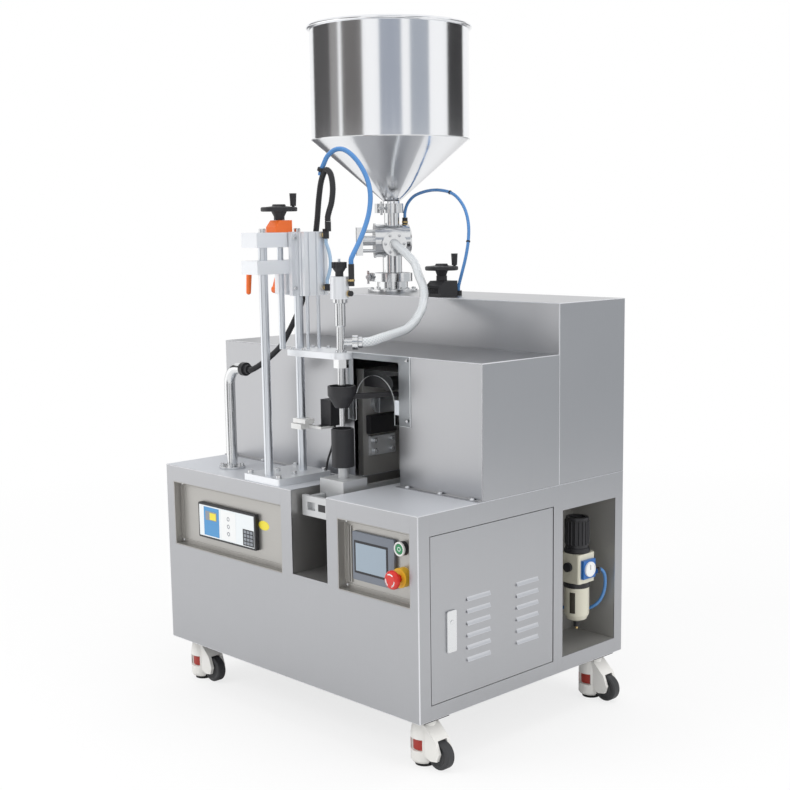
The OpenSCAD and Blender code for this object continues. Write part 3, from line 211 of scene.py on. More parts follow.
orangePlastic = makeFinish("mouldedOrangePlastic", (0.84, 0.16, 0.025), 0.38, 0.0, fine, 0.06, 0.06, 0.08)
whiteCoat = makeFinish("whitePowderCoat", (0.80, 0.79, 0.76), 0.40, 0.0, fine, 0.03, 0.06, 0.08, coat=0.2)
whitePlastic = makeFinish("whiteClampPlastic", (0.80, 0.80, 0.79), 0.42, 0.0, fine, 0.03, 0.06, 0.06)
dialRed = makeFinish("dialRed", (0.36, 0.030, 0.020), 0.42, 0.0, fine, 0.10, 0.06, 0.08)
buttonRed = makeFinish("buttonRed", (0.62, 0.020, 0.012), 0.30, 0.0, fine, 0.06, 0.05, 0.04, coat=0.3)
buttonGreen = makeFinish("buttonGreen", (0.010, 0.22, 0.075), 0.30, 0.0, fine, 0.06, 0.05, 0.04, coat=0.3)
stopYellow = makeFinish("stopYellow", (0.80, 0.47, 0.03), 0.40, 0.0, fine, 0.05, 0.05, 0.05)
bezelGrey = makeFinish("screenBezelGrey", (0.17, 0.19, 0.225), 0.42, 0.0, fine, 0.06, 0.05, 0.06)
screenPale = makeFinish("screenPale", (0.30, 0.37, 0.44), 0.16, 0.0, still, 0.04, 0.02, 0.0, coat=0.4)
displayWhite = makeFinish("displayWhite", (0.78, 0.82, 0.84), 0.22, 0.0, still, 0.03, 0.02, 0.0, coat=0.3)
displayBlue = makeFinish("displayBlue", (0.055, 0.27, 0.56), 0.25, 0.0, still, 0.06, 0.02, 0.0, coat=0.3)
displayGrey = makeFinish("displayGrey", (0.25, 0.27, 0.30), 0.30, 0.0, still, 0.05, 0.02, 0.0)
stickerYellow = makeFinish("blankStickerYellow", (0.83, 0.70, 0.06), 0.45, 0.0, coarse, 0.04, 0.04, 0.03)
ivoryPlastic = makeFinish("ivoryRegulator", (0.66, 0.64, 0.53), 0.36, 0.1, medium, 0.04, 0.06, 0.06)
gaugeWhite = makeFinish("gaugeWhite", (0.82, 0.83, 0.83), 0.32, 0.0, coarse, 0.02, 0.04, 0.0)
coverBlue = makeFinish("regulatorBlue", (0.020, 0.13, 0.42), 0.34, 0.0, medium, 0.05, 0.05, 0.05)
hoseBlue = makeFinish("blueAirTube", (0.07, 0.22, 0.50), 0.26, 0.0, soft, 0.06, 0.05, 0.02, coat=0.3)
hosePaleBlue = makeFinish("paleBlueAirTube", (0.36, 0.52, 0.70), 0.26, 0.0, soft, 0.06, 0.05, 0.02, coat=0.3)
boardGrey = makeFinish("mountingBoardGrey", (0.42, 0.43, 0.43), 0.5, 0.0, soft, 0.05, 0.05, 0.05)
sightDark = makeFinish("sightStripDark", (0.05, 0.045, 0.035), 0.18, 0.0, coarse, 0.1, 0.04, 0.02, coat=0.4)
acrylicEdge = makeFinish("acrylicCutEdge", (0.86, 0.89, 0.90), 0.30, 0.0, (200, 200, 200), 0.03, 0.04, 0.02)
acrylicClear = makeFinish("clearAcrylic", (0.97, 0.985, 0.99), 0.03, 0.0, (20, 20, 20), 0.01, 0.02, 0.0,
                          clear=1.0, ior=1.04)
print("finishes ready:", len(bpy.data.materials))


# A clear hose with braid threads that run both ways round it, drawn on its own map.
braid = {"perMetre": 150.0, "around": 8.0, "thread": 0.11, "clear": 0.25}


def makeBraid(name):
    finish = makeFinish(name, (0.74, 0.78, 0.80), 0.22, 0.0, coarse, 0.03, 0.05, 0.02, coat=0.5)
    tree = finish.node_tree
    shader = tree.nodes["Principled BSDF"]
    shader.inputs["Transmission Weight"].default_value = braid["clear"]
    uv = tree.nodes.new("ShaderNodeUVMap")
    uv.uv_map = "wrap"
    split = tree.nodes.new("ShaderNodeSeparateXYZ")
    tree.links.new(uv.outputs["UV"], split.inputs["Vector"])
    threads = []
    for sign in (1, -1):
        mixUp = tree.nodes.new("ShaderNodeMath")
        mixUp.operation = "MULTIPLY_ADD"
        mixUp.inputs[1].default_value = sign * braid["perMetre"]
        around = tree.nodes.new("ShaderNodeMath")
        around.operation = "MULTIPLY"
        around.inputs[1].default_value = braid["around"]
        tree.links.new(split.outputs["X"], around.inputs[0])
        tree.links.new(split.outputs["Y"], mixUp.inputs[0])
        tree.links.new(around.outputs["Value"], mixUp.inputs[2])
        fold = tree.nodes.new("ShaderNodeMath")
        fold.operation = "PINGPONG"
        fold.inputs[1].default_value = 0.5
        tree.links.new(mixUp.outputs["Value"], fold.inputs[0])
        line = tree.nodes.new("ShaderNodeMath")
        line.operation = "LESS_THAN"
        line.inputs[1].default_value = braid["thread"]
        tree.links.new(fold.outputs["Value"], line.inputs[0])
        threads.append(line)
    either = tree.nodes.new("ShaderNodeMath")
    either.operation = "MAXIMUM"
    tree.links.new(threads[0].outputs["Value"], either.inputs[0])
    tree.links.new(threads[1].outputs["Value"], either.inputs[1])
    tint = tree.nodes.new("ShaderNodeMix")
    tint.data_type = "RGBA"
    tint.inputs["A"].default_value = (0.62, 0.66, 0.69, 1)
    tint.inputs["B"].default_value = (0.92, 0.93, 0.94, 1)
    tree.links.new(either.outputs["Value"], tint.inputs["Factor"])
    tree.links.new(tint.outputs["Result"], shader.inputs["Base Color"])
    return finish


braidClear = makeBraid("clearBraidedHose")


# Camera at the photograph's angle, from the machine's front right corner
view = {"turn": 45.0477, "rise": 8.618, "roll": -0.5916, "place": (2773.9, -1830.2, 1138.4),
        "lens": 60.946, "shift": (-0.0498, 0.0354)}


def addCamera():
    turn, rise, roll = (math.radians(view[k]) for k in ("turn", "rise", "roll"))
    behind = Vector((math.sin(turn) * math.cos(rise), -math.cos(turn) * math.cos(rise), math.sin(rise)))
    right = Vector((math.cos(turn), math.sin(turn), 0))
    up = behind.cross(right)
    rightTurned = right * math.cos(roll) + up * math.sin(roll)
    upTurned = up * math.cos(roll) - right * math.sin(roll)
    data = bpy.data.cameras.new("photoCamera")
    data.lens = view["lens"]
    data.sensor_width = 36
    data.sensor_fit = "HORIZONTAL"
    data.shift_x, data.shift_y = view["shift"]
    data.clip_end = 50
    camera = bpy.data.objects.new("photoCamera", data)
    bpy.context.collection.objects.link(camera)
    turned = Matrix((rightTurned, upTurned, behind)).transposed().to_4x4()
    camera.matrix_world = Matrix.Translation(at(*view["place"])) @ turned
    bpy.context.scene.camera = camera


addCamera()
print("camera set")


# Hoses: a smooth line through listed points, with rings round it
def smoothLine(points, step):
    knots = [points[0] * 2 - points[1]] + list(points) + [points[-1] * 2 - points[-2]]
    line = []
    for a, b, c, d in zip(knots, knots[1:], knots[2:], knots[3:]):
        count = max(2, int((c - b).length / (step * mm)))
        for i in range(count):
            t = i / count
            line.append(0.5 * (2 * b + (c - a) * t + (2 * a - 5 * b + 4 * c - d) * t * t
                               + (3 * b - a - 3 * c + d) * t ** 3))
    line.append(points[-1].copy())
    return line


def sweepTube(name, line, radius, sides, ribs=0.0):
    points, faces, wraps = [], [], []
    side = Vector((0.31, -0.87, 0.38))
    run = 0.0
    for i, p in enumerate(line):
        ahead = (line[min(i + 1, len(line) - 1)] - line[max(i - 1, 0)]).normalized()
        side = (side - ahead * side.dot(ahead)).normalized()
        other = ahead.cross(side)
        r = radius * mm * (1 - ribs * (i % 2))
        for k in range(sides):
            a = math.tau * k / sides
            points.append(p + side * (r * math.cos(a)) + other * (r * math.sin(a)))
        if i:
            run += (p - line[i - 1]).length
        wraps.append(run)
    rings = len(line)
    for i in range(rings - 1):
        for k in range(sides):
            n = (k + 1) % sides
            faces.append((i * sides + k, i * sides + n, (i + 1) * sides + n, (i + 1) * sides + k))
    faces.append(tuple(reversed(range(sides))))
    faces.append(tuple((rings - 1) * sides + k for k in range(sides)))
    mesh = bpy.data.meshes.new(name)
    mesh.from_pydata(points, [], faces)
    layer = mesh.uv_layers.new(name="wrap")
    for face in mesh.polygons:
        for loop in face.loop_indices:
            ring, k = divmod(mesh.loops[loop].vertex_index, sides)
            wrapped = k == 0 and face.index < (rings - 1) * sides and face.index % sides == sides - 1
            layer.data[loop].uv = ((sides if wrapped else k) / sides, wraps[ring])
    tube = bpy.data.objects.new(name, mesh)
    bpy.context.collection.objects.link(tube)
    smoothByAngle(tube, 60)
    return tube


def addHose(name, route, diameter, finish, node, step=6, sides=16, ribs=0.0):
    line = smoothLine([onDeck(*p) for p in route], step)
    tube = sweepTube(name, line, diameter / 2, sides, ribs)
    tube.data.materials.append(finish)
    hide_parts(node)
    return tube


hoses = {
    "product": [(274, 529.8, 530), (286, 520.8, 530), (314, 506, 523), (354, 494, 506), (397, 480, 484),
                (440, 452, 456), (482, 424, 434), (512, 398, 410), (542, 360, 384), (564, 318, 360),
                (580, 272, 344), (590, 222, 337), (595, 178, 331), (592, 154, 325.5), (584.1, 141.1, 324),
                (574.1, 131.1, 324)],
    "conduit": [(247.3, 78, 245), (256, 78, 245), (270, 92, 256), (284, 114, 276), (298, 134, 300),
                (312, 147, 332), (330, 158, 372), (346, 168, 418), (362, 174, 472), (376, 177, 530),
                (388, 178, 590), (396, 178, 640), (406, 178, 680), (422, 178, 703), (440, 177, 694),
                (450, 174, 664), (452, 168, 632), (450, 162, 612), (448, 159, 598), (448, 159, 588.3)],
    "nozzleAir": [(405, 176, 692), (408, 177, 704), (414, 179, 716), (424, 183, 735), (442, 190, 748),
                  (464, 196, 748), (488, 201, 734), (512, 204, 710), (534, 203, 680), (550, 197, 646),
                  (558, 185, 608), (563, 166, 572), (568, 144, 542), (572, 124, 518), (573, 116, 506),
                  (573, 116, 496.3)],
    "liftAir": [(451, 150, 549.7), (451, 150, 540), (456, 152, 526), (459, 154, 508), (459, 154, 488),
                (456, 152, 470), (451, 151, 458), (451, 151, 448.3)],
    "valveAir": [(246.5, 593.2, 596.2), (246.5, 593.2, 608), (254, 595, 630), (276, 598, 650),
                 (312, 602, 661), (354, 604, 664), (398, 606, 657), (430, 604, 640), (458, 598, 612),
                 (478, 588, 576), (488, 576, 536), (491, 563, 496), (490, 550, 458), (487, 542, 428),
                 (487, 542, 417.7)],
    "regulator": [(872, 612.2, -232), (872, 620, -232), (874, 630, -242), (874, 635, -262),
                  (870, 636, -288), (862, 630, -312), (848, 621, -328), (828, 611, -335), (808, 598, -335),
                  (795, 583, -333), (784, 576, -332), (772.2, 576, -332)],
    "sensor": [(447, 168, 121.7), (446, 166, 98), (442, 161, 70), (436, 154, 42), (432, 151, 16.3)],
}

# The product hose hangs between the valve and the nozzle: its upper half goes over from the machine to the lift,
# its lower half from the lift to the nozzle.
half = 9
productUpper = addHose("productHoseUpper", hoses["product"][:half + 1], 21, braidClear, "product_hose",
                       step=5, sides=24)
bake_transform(productUpper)
productLower = addHose("productHoseLower", hoses["product"][half:], 21, braidClear, "product_hose",
                       step=5, sides=24)
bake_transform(productLower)
conduitHose = addHose("conduitHose", hoses["conduit"], 14, blackPlastic, "conduit_hose", step=2,
                      sides=20, ribs=0.10)
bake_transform(conduitHose)
nozzleAirHose = addHose("nozzleAirHose", hoses["nozzleAir"], 11, hoseBlue, "nozzle_air_hose", sides=20)
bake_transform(nozzleAirHose)
liftAirHose = addHose("liftAirHose", hoses["liftAir"], 8, hosePaleBlue, "lift_air_hose")
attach(liftAirHose, "lift")
valveAirHose = addHose("valveAirHose", hoses["valveAir"], 8, hoseBlue, "valve_air_hose")
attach(valveAirHose, "machine")
regulatorHose = addHose("regulatorHose", hoses["regulator"], 8, hoseBlue, "regulator_hose")
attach(regulatorHose, "machine")
sensorCable = addHose("sensorCable", hoses["sensor"], 5, blackPlastic, "sensor_cable", sides=12)
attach(sensorCable, "machine")
print("hoses routed:", len(hoses))


# Pieces that keep their solid's shape: edges are rounded and each stretch of faces gets its finish.
def copyNode(node):
    source = frame["nodes"][node]
    piece = bpy.data.objects.new(node + "Dressed", source.data.copy())
    piece.data.materials.clear()
    bpy.context.collection.objects.link(piece)
    pick(piece)
    bpy.ops.object.mode_set(mode="EDIT")
    bpy.ops.mesh.select_all(action="SELECT")
    bpy.ops.mesh.remove_doubles(threshold=0.00001)
    bpy.ops.mesh.dissolve_limited(angle_limit=math.radians(0.6))
    bpy.ops.object.mode_set(mode="OBJECT")
    return piece


def paintFaces(piece, index, test):
    for face in piece.data.polygons:
        if test(*back(face.center)):
            face.material_index = index


# The outer corners of a housing are folded: edges that lie on two of its outer planes get a wider radius and the
# last finish of its list, a paler copy of the sheet that paints a highlight along the fold.
foldRadius = 2.6


def foldCorners(piece, planes, width, finish):
    marks = piece.data.attributes.new("bevel_weight_edge", "FLOAT", "EDGE")
    spots = [back(v.co) for v in piece.data.vertices]
    for edge in piece.data.edges:
        ends = [spots[i] for i in edge.vertices]
        shared = sum(all(abs(e[axis] - level) < 0.05 for e in ends) for axis, level in planes)
        marks.data[edge.index].value = 1.0 if shared >= 2 else 0.0
    useModifier(piece, "BEVEL", width=width * mm, segments=4, limit_method="WEIGHT", use_clamp_overlap=True,
                material=finish)


def dress(node, finishes, edge=0.6, steps=2, paint=None, planes=None):
    piece = copyNode(node)
    for finish in finishes:
        piece.data.materials.append(finish)
    if planes:
        foldCorners(piece, planes, foldRadius, len(finishes) - 1)
    if edge:
        roundEdges(piece, edge, steps)
    for index, test in (paint or {}).items():
        paintFaces(piece, index, test)
    evenShading(piece)
    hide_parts(node)
    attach(piece, bodyOf[node])
    return piece


# Paint tests get a face's centre in millimetres, as at() takes it.
def inSlot(x, y, z):
    return 484 < x < 610 and 2.05 < y < 404 and 355 < z < 549


def inAlcove(x, y, z):
    return 757 < x < 887.9 and 454 < y < 653 and 143 < z < 492


ends = [(0, 0), (0, layout["width"]), (1, layout["depth"])]
# Base cabinet: copies of the sheet paint shade on the alcove and the slot, light on the deck's upward faces, and a
# highlight along the folds.
dress("base_cabinet", [steelSheet, steelAlcoveShade, steelDeckLit, steelSlotShade, steelFoldHighlight], edge=0,
      planes=ends + [(1, 0), (2, layout["caster"]), (2, deckZ)],
      paint={1: inAlcove, 2: lambda x, y, z: z > deckZ - 0.1, 3: inSlot})
dress("mid_housing", [steelSheet, steelFoldHighlight], edge=0,
      planes=ends[:2] + [(1, layout["housingFront"]), (2, layout["housing"])])
dress("rear_tower", [steelSheet, blackPlastic, steelFoldHighlight], edge=0,
      planes=ends + [(1, layout["towerFront"]), (2, towerZ)], paint={1: lambda x, y, z: z > towerZ + 0.5})
# The louvers' outer faces take the paler copy: a painted highlight.
dress("side_door", [steelSheet, steelLit], edge=0.5, paint={1: lambda x, y, z: x > 890.6})
buttons = {"x": 829, "start": 472, "stop": 411}
dress("front_panels", [steelPanel, blackPlastic, stopYellow], edge=0.4, paint={
    1: lambda x, y, z: abs(x - buttons["x"]) < 15.5 and abs(z - buttons["start"]) < 15.5 and y < 19.9,
    2: lambda x, y, z: abs(x - buttons["x"]) < 22.5 and abs(z - buttons["stop"]) < 22.5 and y < 19.9})
dress("display_screens", [blackPlastic, bezelGrey], edge=1.0, paint={1: lambda x, y, z: x > 600})
dress("acrylic_guard", [acrylicClear, acrylicEdge], edge=0.4, paint={1: lambda x, y, z: 189.05 < y < 191.75})
dress("column_plates", [paleAluminium], edge=1.0)
dress("columns", [rodSteel], edge=0.8)
dress("position_indicator", [orangePlastic], edge=1.5, steps=3)
dress("conduit_pipe", [castSteel, blackPlastic], edge=0.8, paint={1: lambda x, y, z: x > 222.2})
dress("filter_regulator", [ivoryPlastic, castSteel, coverBlue, blackPlastic, brassFinish], edge=1.0, paint={
    1: lambda x, y, z: x < 809.9,
    2: lambda x, y, z: x > 870.2 and y < 600.5,
    3: lambda x, y, z: y > 600.2 or y < 539.9 and x > 809.9 or z < 197.9 and x > 809.9,
    4: lambda x, y, z: x < 777 and abs(y - 482) < 12})
dress("pump_barrel", [castSteel], edge=0.6)
dress("sanitary_clamps", [castSteel], edge=1.0)
dress("valve_body", [castSteel, blackPlastic], edge=0.8, paint={
    1: lambda x, y, z: math.hypot(x - valveFitting[0], y - valveFitting[1]) < 7.6 and z > towerZ + 175})
dress("hopper", [mirrorSteel], edge=0.3)
dress("stroke_gearbox", [blackPlastic], edge=1.5, steps=3)
dress("slide_rails", [greyAluminium], edge=0.5)
# Seal frame in the raised grey, partly painted light; its cylinder is black.
dress("seal_frame", [sealGreyLit, blackPlastic], edge=0.8, paint={1: lambda x, y, z: y < 229 and z > deckZ + 205})
dress("funnel_guide", [blackPlastic], edge=0.6)
dress("eye_sensor", [blackPlastic, whitePlastic], edge=0.8, paint={1: lambda x, y, z: z < 671.8 or x < 412.5})
dress("caster_plates", [blackMetal], edge=0.6)
dress("electrical_panel", [boardGrey], edge=0.8)
dress("lift_carriage", [paleAluminium], edge=1.0)
dress("lift_cylinder", [paleAluminium, blackPlastic], edge=0.7, paint={
    1: lambda x, y, z: x > 443.3 or z > deckZ + 566.3})
dress("head_handwheel", [blackPlastic, rodSteel], edge=0.8, paint={1: lambda x, y, z: z < deckZ + 592})
dress("clamp_lever_front", [orangePlastic], edge=0)
dress("clamp_lever_rear", [orangePlastic], edge=0)
dress("nozzle_plate", [paleAluminium, rodSteel], edge=0.8, paint={1: lambda x, y, z: z > deckZ + 302.4})
dress("filling_nozzle", [castSteel, paleAluminium, blackPlastic], edge=0.5, paint={
    1: lambda x, y, z: (deckZ + 420 <= z <= deckZ + 469.5
                        and math.hypot(x - nozzleAxis[0], y - nozzleAxis[1]) < 21.4),
    2: lambda x, y, z: x > 568.3 and z > deckZ + 425})
dress("nozzle_knob", [blackPlastic, rodSteel], edge=0.6, paint={1: lambda x, y, z: z > deckZ + 500.6})
dress("tube_carriage", [greyAluminium], edge=1.0)
dress("tube_cup", [blackPlastic], edge=0.5)
dress("door_latch", [castSteel], edge=0.8)
dress("start_button", [buttonGreen], edge=1.5, steps=3)
dress("estop_button", [buttonRed], edge=1.5, steps=3)
dress("stroke_handwheel", [blackPlastic], edge=0.8)
dress("regulator_knob", [blackPlastic], edge=0.8)
dress("pump_piston", [rodSteel], edge=0.6)
dress("anvil_jaw", [rodSteel], edge=0.6)
dress("ultrasonic_horn", [rodSteel], edge=0.6)
swivels = {"fl": (46, 58), "fr": (844, 58), "rl": (46, 622), "rr": (844, 622)}
for corner in swivels:
    swivelX, swivelY = swivels[corner]
    dress("caster_" + corner, [whiteCoat, dialRed], edge=1.2, steps=3, paint={
        1: lambda x, y, z: 36.3 < z < 59.7 and abs(math.hypot(x - swivelX, y - swivelY) - 25) < 0.7})
    dress("wheel_" + corner, [wheelNylon], edge=0.8)
    dress("foot_" + corner, [rubberFinish, rodSteel], edge=1.0, paint={1: lambda x, y, z: z > 12.5})
print("solids dressed")


# Small pieces that the solids leave out
def place(piece, finish, slot, body):
    piece.data.materials.append(finish)
    evenShading(piece)
    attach(piece, body)
    return piece


def turned(name, profile, centre, axis, finish, slot, body="machine", steps=40, angle=math.tau, start=0.0):
    mesh = bpy.data.meshes.new(name)
    edges = [(i, i + 1) for i in range(len(profile) - 1)]
    mesh.from_pydata([(r * mm, 0, h * mm) for r, h in profile], edges, [])
    piece = bpy.data.objects.new(name, mesh)
    bpy.context.collection.objects.link(piece)
    pick(piece)
    bpy.ops.object.mode_set(mode="EDIT")
    bpy.ops.mesh.select_all(action="SELECT")
    bpy.ops.mesh.spin(steps=steps, angle=angle, center=(0, 0, 0), axis=(0, 0, 1))
    bpy.ops.mesh.select_all(action="SELECT")
    bpy.ops.mesh.remove_doubles(threshold=0.000005)
    bpy.ops.mesh.normals_make_consistent(inside=False)
    bpy.ops.object.mode_set(mode="OBJECT")
    aim = Vector((0, 0, 1)).rotation_difference(Vector(axis)).to_matrix().to_4x4()
    mesh.transform(Matrix.Translation(centre) @ aim @ Matrix.Rotation(start, 4, "Z"))
    return place(piece, finish, slot, body)


def plate(name, low, high, edge, finish, slot, body="machine"):
    a, b = at(*low), at(*high)
    clearSelection()
    bpy.ops.mesh.primitive_cube_add(size=1, location=(a + b) / 2)
    piece = bpy.context.object
    piece.name = name
    piece.scale = b - a
    settle(piece)
    roundEdges(piece, edge)
    return place(piece, finish, slot, body)


def capScrew(name, centre, axis, d, finish=castSteel, slot="polished_steel", body="machine"):
    r = d / 2
    profile = [(0, r * 0.55), (r * 0.5, r * 0.55), (r * 0.58, r * 1.1), (r * 0.9, r * 1.1), (r, r * 0.98),
               (r, 0), (0, 0)]
    return turned(name, profile, centre, axis, finish, slot, body, steps=24)


def domeNut(name, centre, axis, d, finish=castSteel, slot="polished_steel", body="machine"):
    r = d / 2
    angles = [a * math.pi / 12 for a in range(6, -1, -1)]
    dome = [(r * math.cos(a), r * (0.35 + 0.45 * math.sin(a))) for a in angles]
    return turned(name, dome + [(r, 0), (0, 0)], centre, axis, finish, slot, body, steps=24)


def ringProfile(inner, outer, low, high, chamfer):
    return [(inner, low), (outer - chamfer, low), (outer, low + chamfer), (outer, high - chamfer),
            (outer - chamfer, high), (inner + chamfer, high), (inner, high - chamfer), (inner, low)]


# Instrument recesses
display = {"left": 116, "foot": 384, "front": 10.0}


def fitInstruments():
    x0, z0, y = display["left"], display["foot"], display["front"]
    glass, ahead = "screen_glass", (0, -1, 0)
    for name, (left, front, foot), (right, rear, head), edge, finish in (
            ("displayGlass", (5, -0.7, 5), (220, 0.4, 81), 0.3, displayWhite),
            ("displayBlueField", (24, -1.0, 8), (85, -0.5, 78), 0.2, displayBlue),
            ("displayDarkWindow", (31, -1.3, 46), (76, -0.8, 68), 0.2, displayGrey),
            ("displayTanWindow", (48, -1.5, 48), (73, -1.1, 65), 0.2, stickerYellow),
            ("displayMenu", (94, -1.0, 8), (150, -0.5, 78), 0.2, gaugeWhite)):
        plate(name, (x0 + left, y + front, z0 + foot), (x0 + right, y + rear, z0 + head), edge, finish, glass)
    for i in range(3):
        turned(f"displayIcon{i}", ringProfile(3.2, 5.2, 0, 0.6, 0.15), at(x0 + 122, y - 0.8, z0 + 24 + 18 * i),
               ahead, displayGrey, glass, steps=20)
    plate("displayKeypad", (x0 + 178, y - 1.2, z0 + 7), (x0 + 219, y - 0.5, z0 + 46), 0.3, blackPlastic, glass)
    for row in range(4):
        for column in range(3):
            low = (x0 + 182 + 12 * column, y - 1.7, z0 + 10 + 9 * row)
            high = (low[0] + 9.5, y - 1.0, low[2] + 6.5)
            plate(f"displayKey{row}{column}", low, high, 0.2, displayGrey, glass)
    plate("operatorFrame", (683, 11.4, 396), (788, 12.3, 467), 0.3, blackPlastic, glass)
    plate("operatorScreen", (688, 11.0, 401), (783, 11.9, 462), 0.3, screenPale, glass)
    sticker = turned("blankOvalSticker", [(0, 0.5), (10.6, 0.5), (11, 0.2), (11, 0), (0, 0)], (0, 0, 0), ahead,
                     stickerYellow, "orange_plastic")
    sticker.data.transform(Matrix.Translation(at(361, 20, 446)) @ Matrix.Scale(1.8, 4, (1, 0, 0)))
    x, start, stop = buttons["x"], buttons["start"], buttons["stop"]
    turned("startRing", ringProfile(11.5, 15, 0, 6.5, 1.2), at(x, 10.2, start), ahead, whitePlastic, "panel_steel")
    turned("startMark", ringProfile(3.4, 4.8, 0, 0.5, 0.15), at(x, 5.2, start), ahead, displayWhite,
           "green_plastic", "start_button")
    arrow = [(11.2, 0), (14.2, 0), (14.2, 0.6), (11.2, 0.6), (11.2, 0)]
    for i in range(3):
        turned(f"stopArrow{i}", arrow, at(x, -21.4, stop), ahead, gaugeWhite, "red_plastic", "estop_button",
               steps=10, angle=math.radians(70), start=math.tau * i / 3)
    for name, left, right in (("wide", 38, 442), ("control", 650, 858)):
        for i, (x, z) in enumerate(((left, 361), (right, 361), (left, 503), (right, 503))):
            domeNut(f"{name}PanelNut{i}", at(x, 20, z), ahead, 8)


fitInstruments()


# Screws of the column plates, the conduit, the pump flange, the nozzle plate and the lift
def onCircle(middle, radius, share):
    a = math.tau * share
    return middle[0] + radius * math.cos(a), middle[1] + radius * math.sin(a)


def fitScrews():
    for i, (x, y) in enumerate(((324, 15), (428, 15), (324, 148), (428, 148), (352, 72), (412, 72))):
        capScrew(f"footPlateScrew{i}", onDeck(x, y, 16), (0, 0, 1), 13)
    for i, y in enumerate((23, 122)):
        capScrew(f"topBarScrew{i}", onDeck(382, y, 565), (0, 0, 1), 16)
    for i in range(4):
        x, y = onCircle(conduitFoot, 24, (i + 0.5) / 4)
        capScrew(f"conduitScrew{i}", onDeck(x, y, 6), (0, 0, 1), 10)
    for i in range(6):
        x, y = onCircle(hopperAxis, 56, i / 6)
        domeNut(f"pumpNut{i}", at(x, y, towerZ + 8), (0, 0, 1), 12)
    for i, (x, y) in enumerate(((404, 82), (404, 144), (442, 84), (442, 158))):
        capScrew(f"nozzlePlateScrew{i}", onDeck(x, y, 302), (0, 0, 1), 9, body="nozzle")
    for i, (y, z) in enumerate(((87, 440), (87, 552))):
        capScrew(f"liftPlateScrew{i}", onDeck(413, y, z), (1, 0, 0), 9, body="lift")


fitScrews()


# Filter regulator: collar, gauge, lock ring, sight strip and drain tip
regulator = {"x": 840, "y": 570, "bowl": 198, "body": 295, "collar": 365}


def fitRegulator():
    x, y = regulator["x"], regulator["y"]
    slot = "ivory_plastic"
    turned("regulatorCollar", [(20.2, 0), (30, 0), (31, 2), (31, 5), (28, 11.6), (20.2, 11.6), (20.2, 0)],
           at(x, y, regulator["collar"]), (0, 0, 1), blackPlastic, slot, steps=48)
    turned("bowlLockRing", ringProfile(29.55, 31.2, 0, 12, 0.6), at(x, y, regulator["body"] - 13), (0, 0, 1),
           blackPlastic, slot, steps=48)
    turned("bowlSightStrip", [(29.55, 0), (30.2, 0), (30.2, 50), (29.55, 50), (29.55, 0)],
           at(x, y, regulator["bowl"] + 24), (0, 0, 1), sightDark, slot, steps=8, angle=math.radians(26),
           start=math.radians(-58))
    turned("drainTip", [(0, 0), (3.2, 0), (3.6, 1), (3.6, 6), (0, 6)], at(x, y, regulator["bowl"] - 20),
           (0, 0, 1), brassFinish, slot, steps=20)
    turned("gaugeCase", [(0, 3.2), (14.6, 3.2), (15, 4.6), (17, 4.6), (18, 3.6), (18, 0), (0, 0)],
           at(x + 38, y, regulator["body"] + 34), (1, 0, 0), gaugeWhite, slot)
    plate("gaugeHand", (x + 41.1, y - 0.5, regulator["body"] + 33), (x + 41.7, y + 0.5, regulator["body"] + 45),
          0.1, blackPlastic, slot)


fitRegulator()


# Hose clamps, air fittings, cable ties and the bolts of the valve's outlet
outlet = {"turn": 53, "height": 124, "reach": 60, "bolts": 24}


def fitFittings():
    turn = math.radians(outlet["turn"])
    outward = Vector((math.sin(turn), -math.cos(turn), 0))
    aside = Vector((-outward.y, outward.x, 0))
    centre = at(*hopperAxis, towerZ + outlet["height"]) + outward * outlet["reach"] * mm
    for i in range(6):
        a = math.tau * i / 6
        spot = centre + (aside * math.cos(a) + Vector((0, 0, 1)) * math.sin(a)) * outlet["bolts"] * mm
        domeNut(f"outletBolt{i}", spot, outward, 8)
    hoseClamp = ringProfile(10.6, 12.4, 0, 9, 0.6)
    turned("outletHoseClamp", hoseClamp, centre + outward * 4 * mm, outward, castSteel, "polished_steel")
    turned("airTubeGrommet", ringProfile(5.4, 9, -5, 4, 1.2), onDeck(408, 177, 705), (0.4, 0.1, 1),
           blackPlastic, "blue_hose", "lift", steps=28)
    portAxis = Vector((1, 1, 0)).normalized()
    port = onDeck(*nozzleAxis, 324)
    turned("portHoseClamp", hoseClamp, port + portAxis * 39 * mm, portAxis, castSteel, "polished_steel", "nozzle")
    for name, spot, axis, r, body in (
            ("nozzleElbowBrass", onDeck(573, 116, 458), (0, 0, 1), 6.6, "nozzle"),
            ("nozzlePortBrass", onDeck(566, 112, 432), (1, 0, 0), 6.1, "nozzle"),
            ("liftTopBrass", onDeck(444, 150, 558), (1, 0, 0), 6.6, "lift"),
            ("liftLowBrass", onDeck(444, 151, 440), (1, 0, 0), 6.6, "lift"),
            ("valveFittingBrass", at(*valveFitting, towerZ + 176), (0, 0, 1), 7.1, "machine")):
        turned(name, ringProfile(r - 0.4, r + 1.0, 0, 5, 0.6), spot, axis, brassFinish, "polished_steel", body,
               steps=6)
    points = [onDeck(*p) for p in hoses["valveAir"]]
    cableTie = ringProfile(3.9, 5.2, -2, 2, 0.4)
    for name, spot in (("valveTieHigh", 6), ("valveTieLow", 10)):
        ahead = points[spot + 1] - points[spot - 1]
        turned(name, cableTie, points[spot], ahead, blackPlastic, "blue_hose", steps=20)


fitFittings()


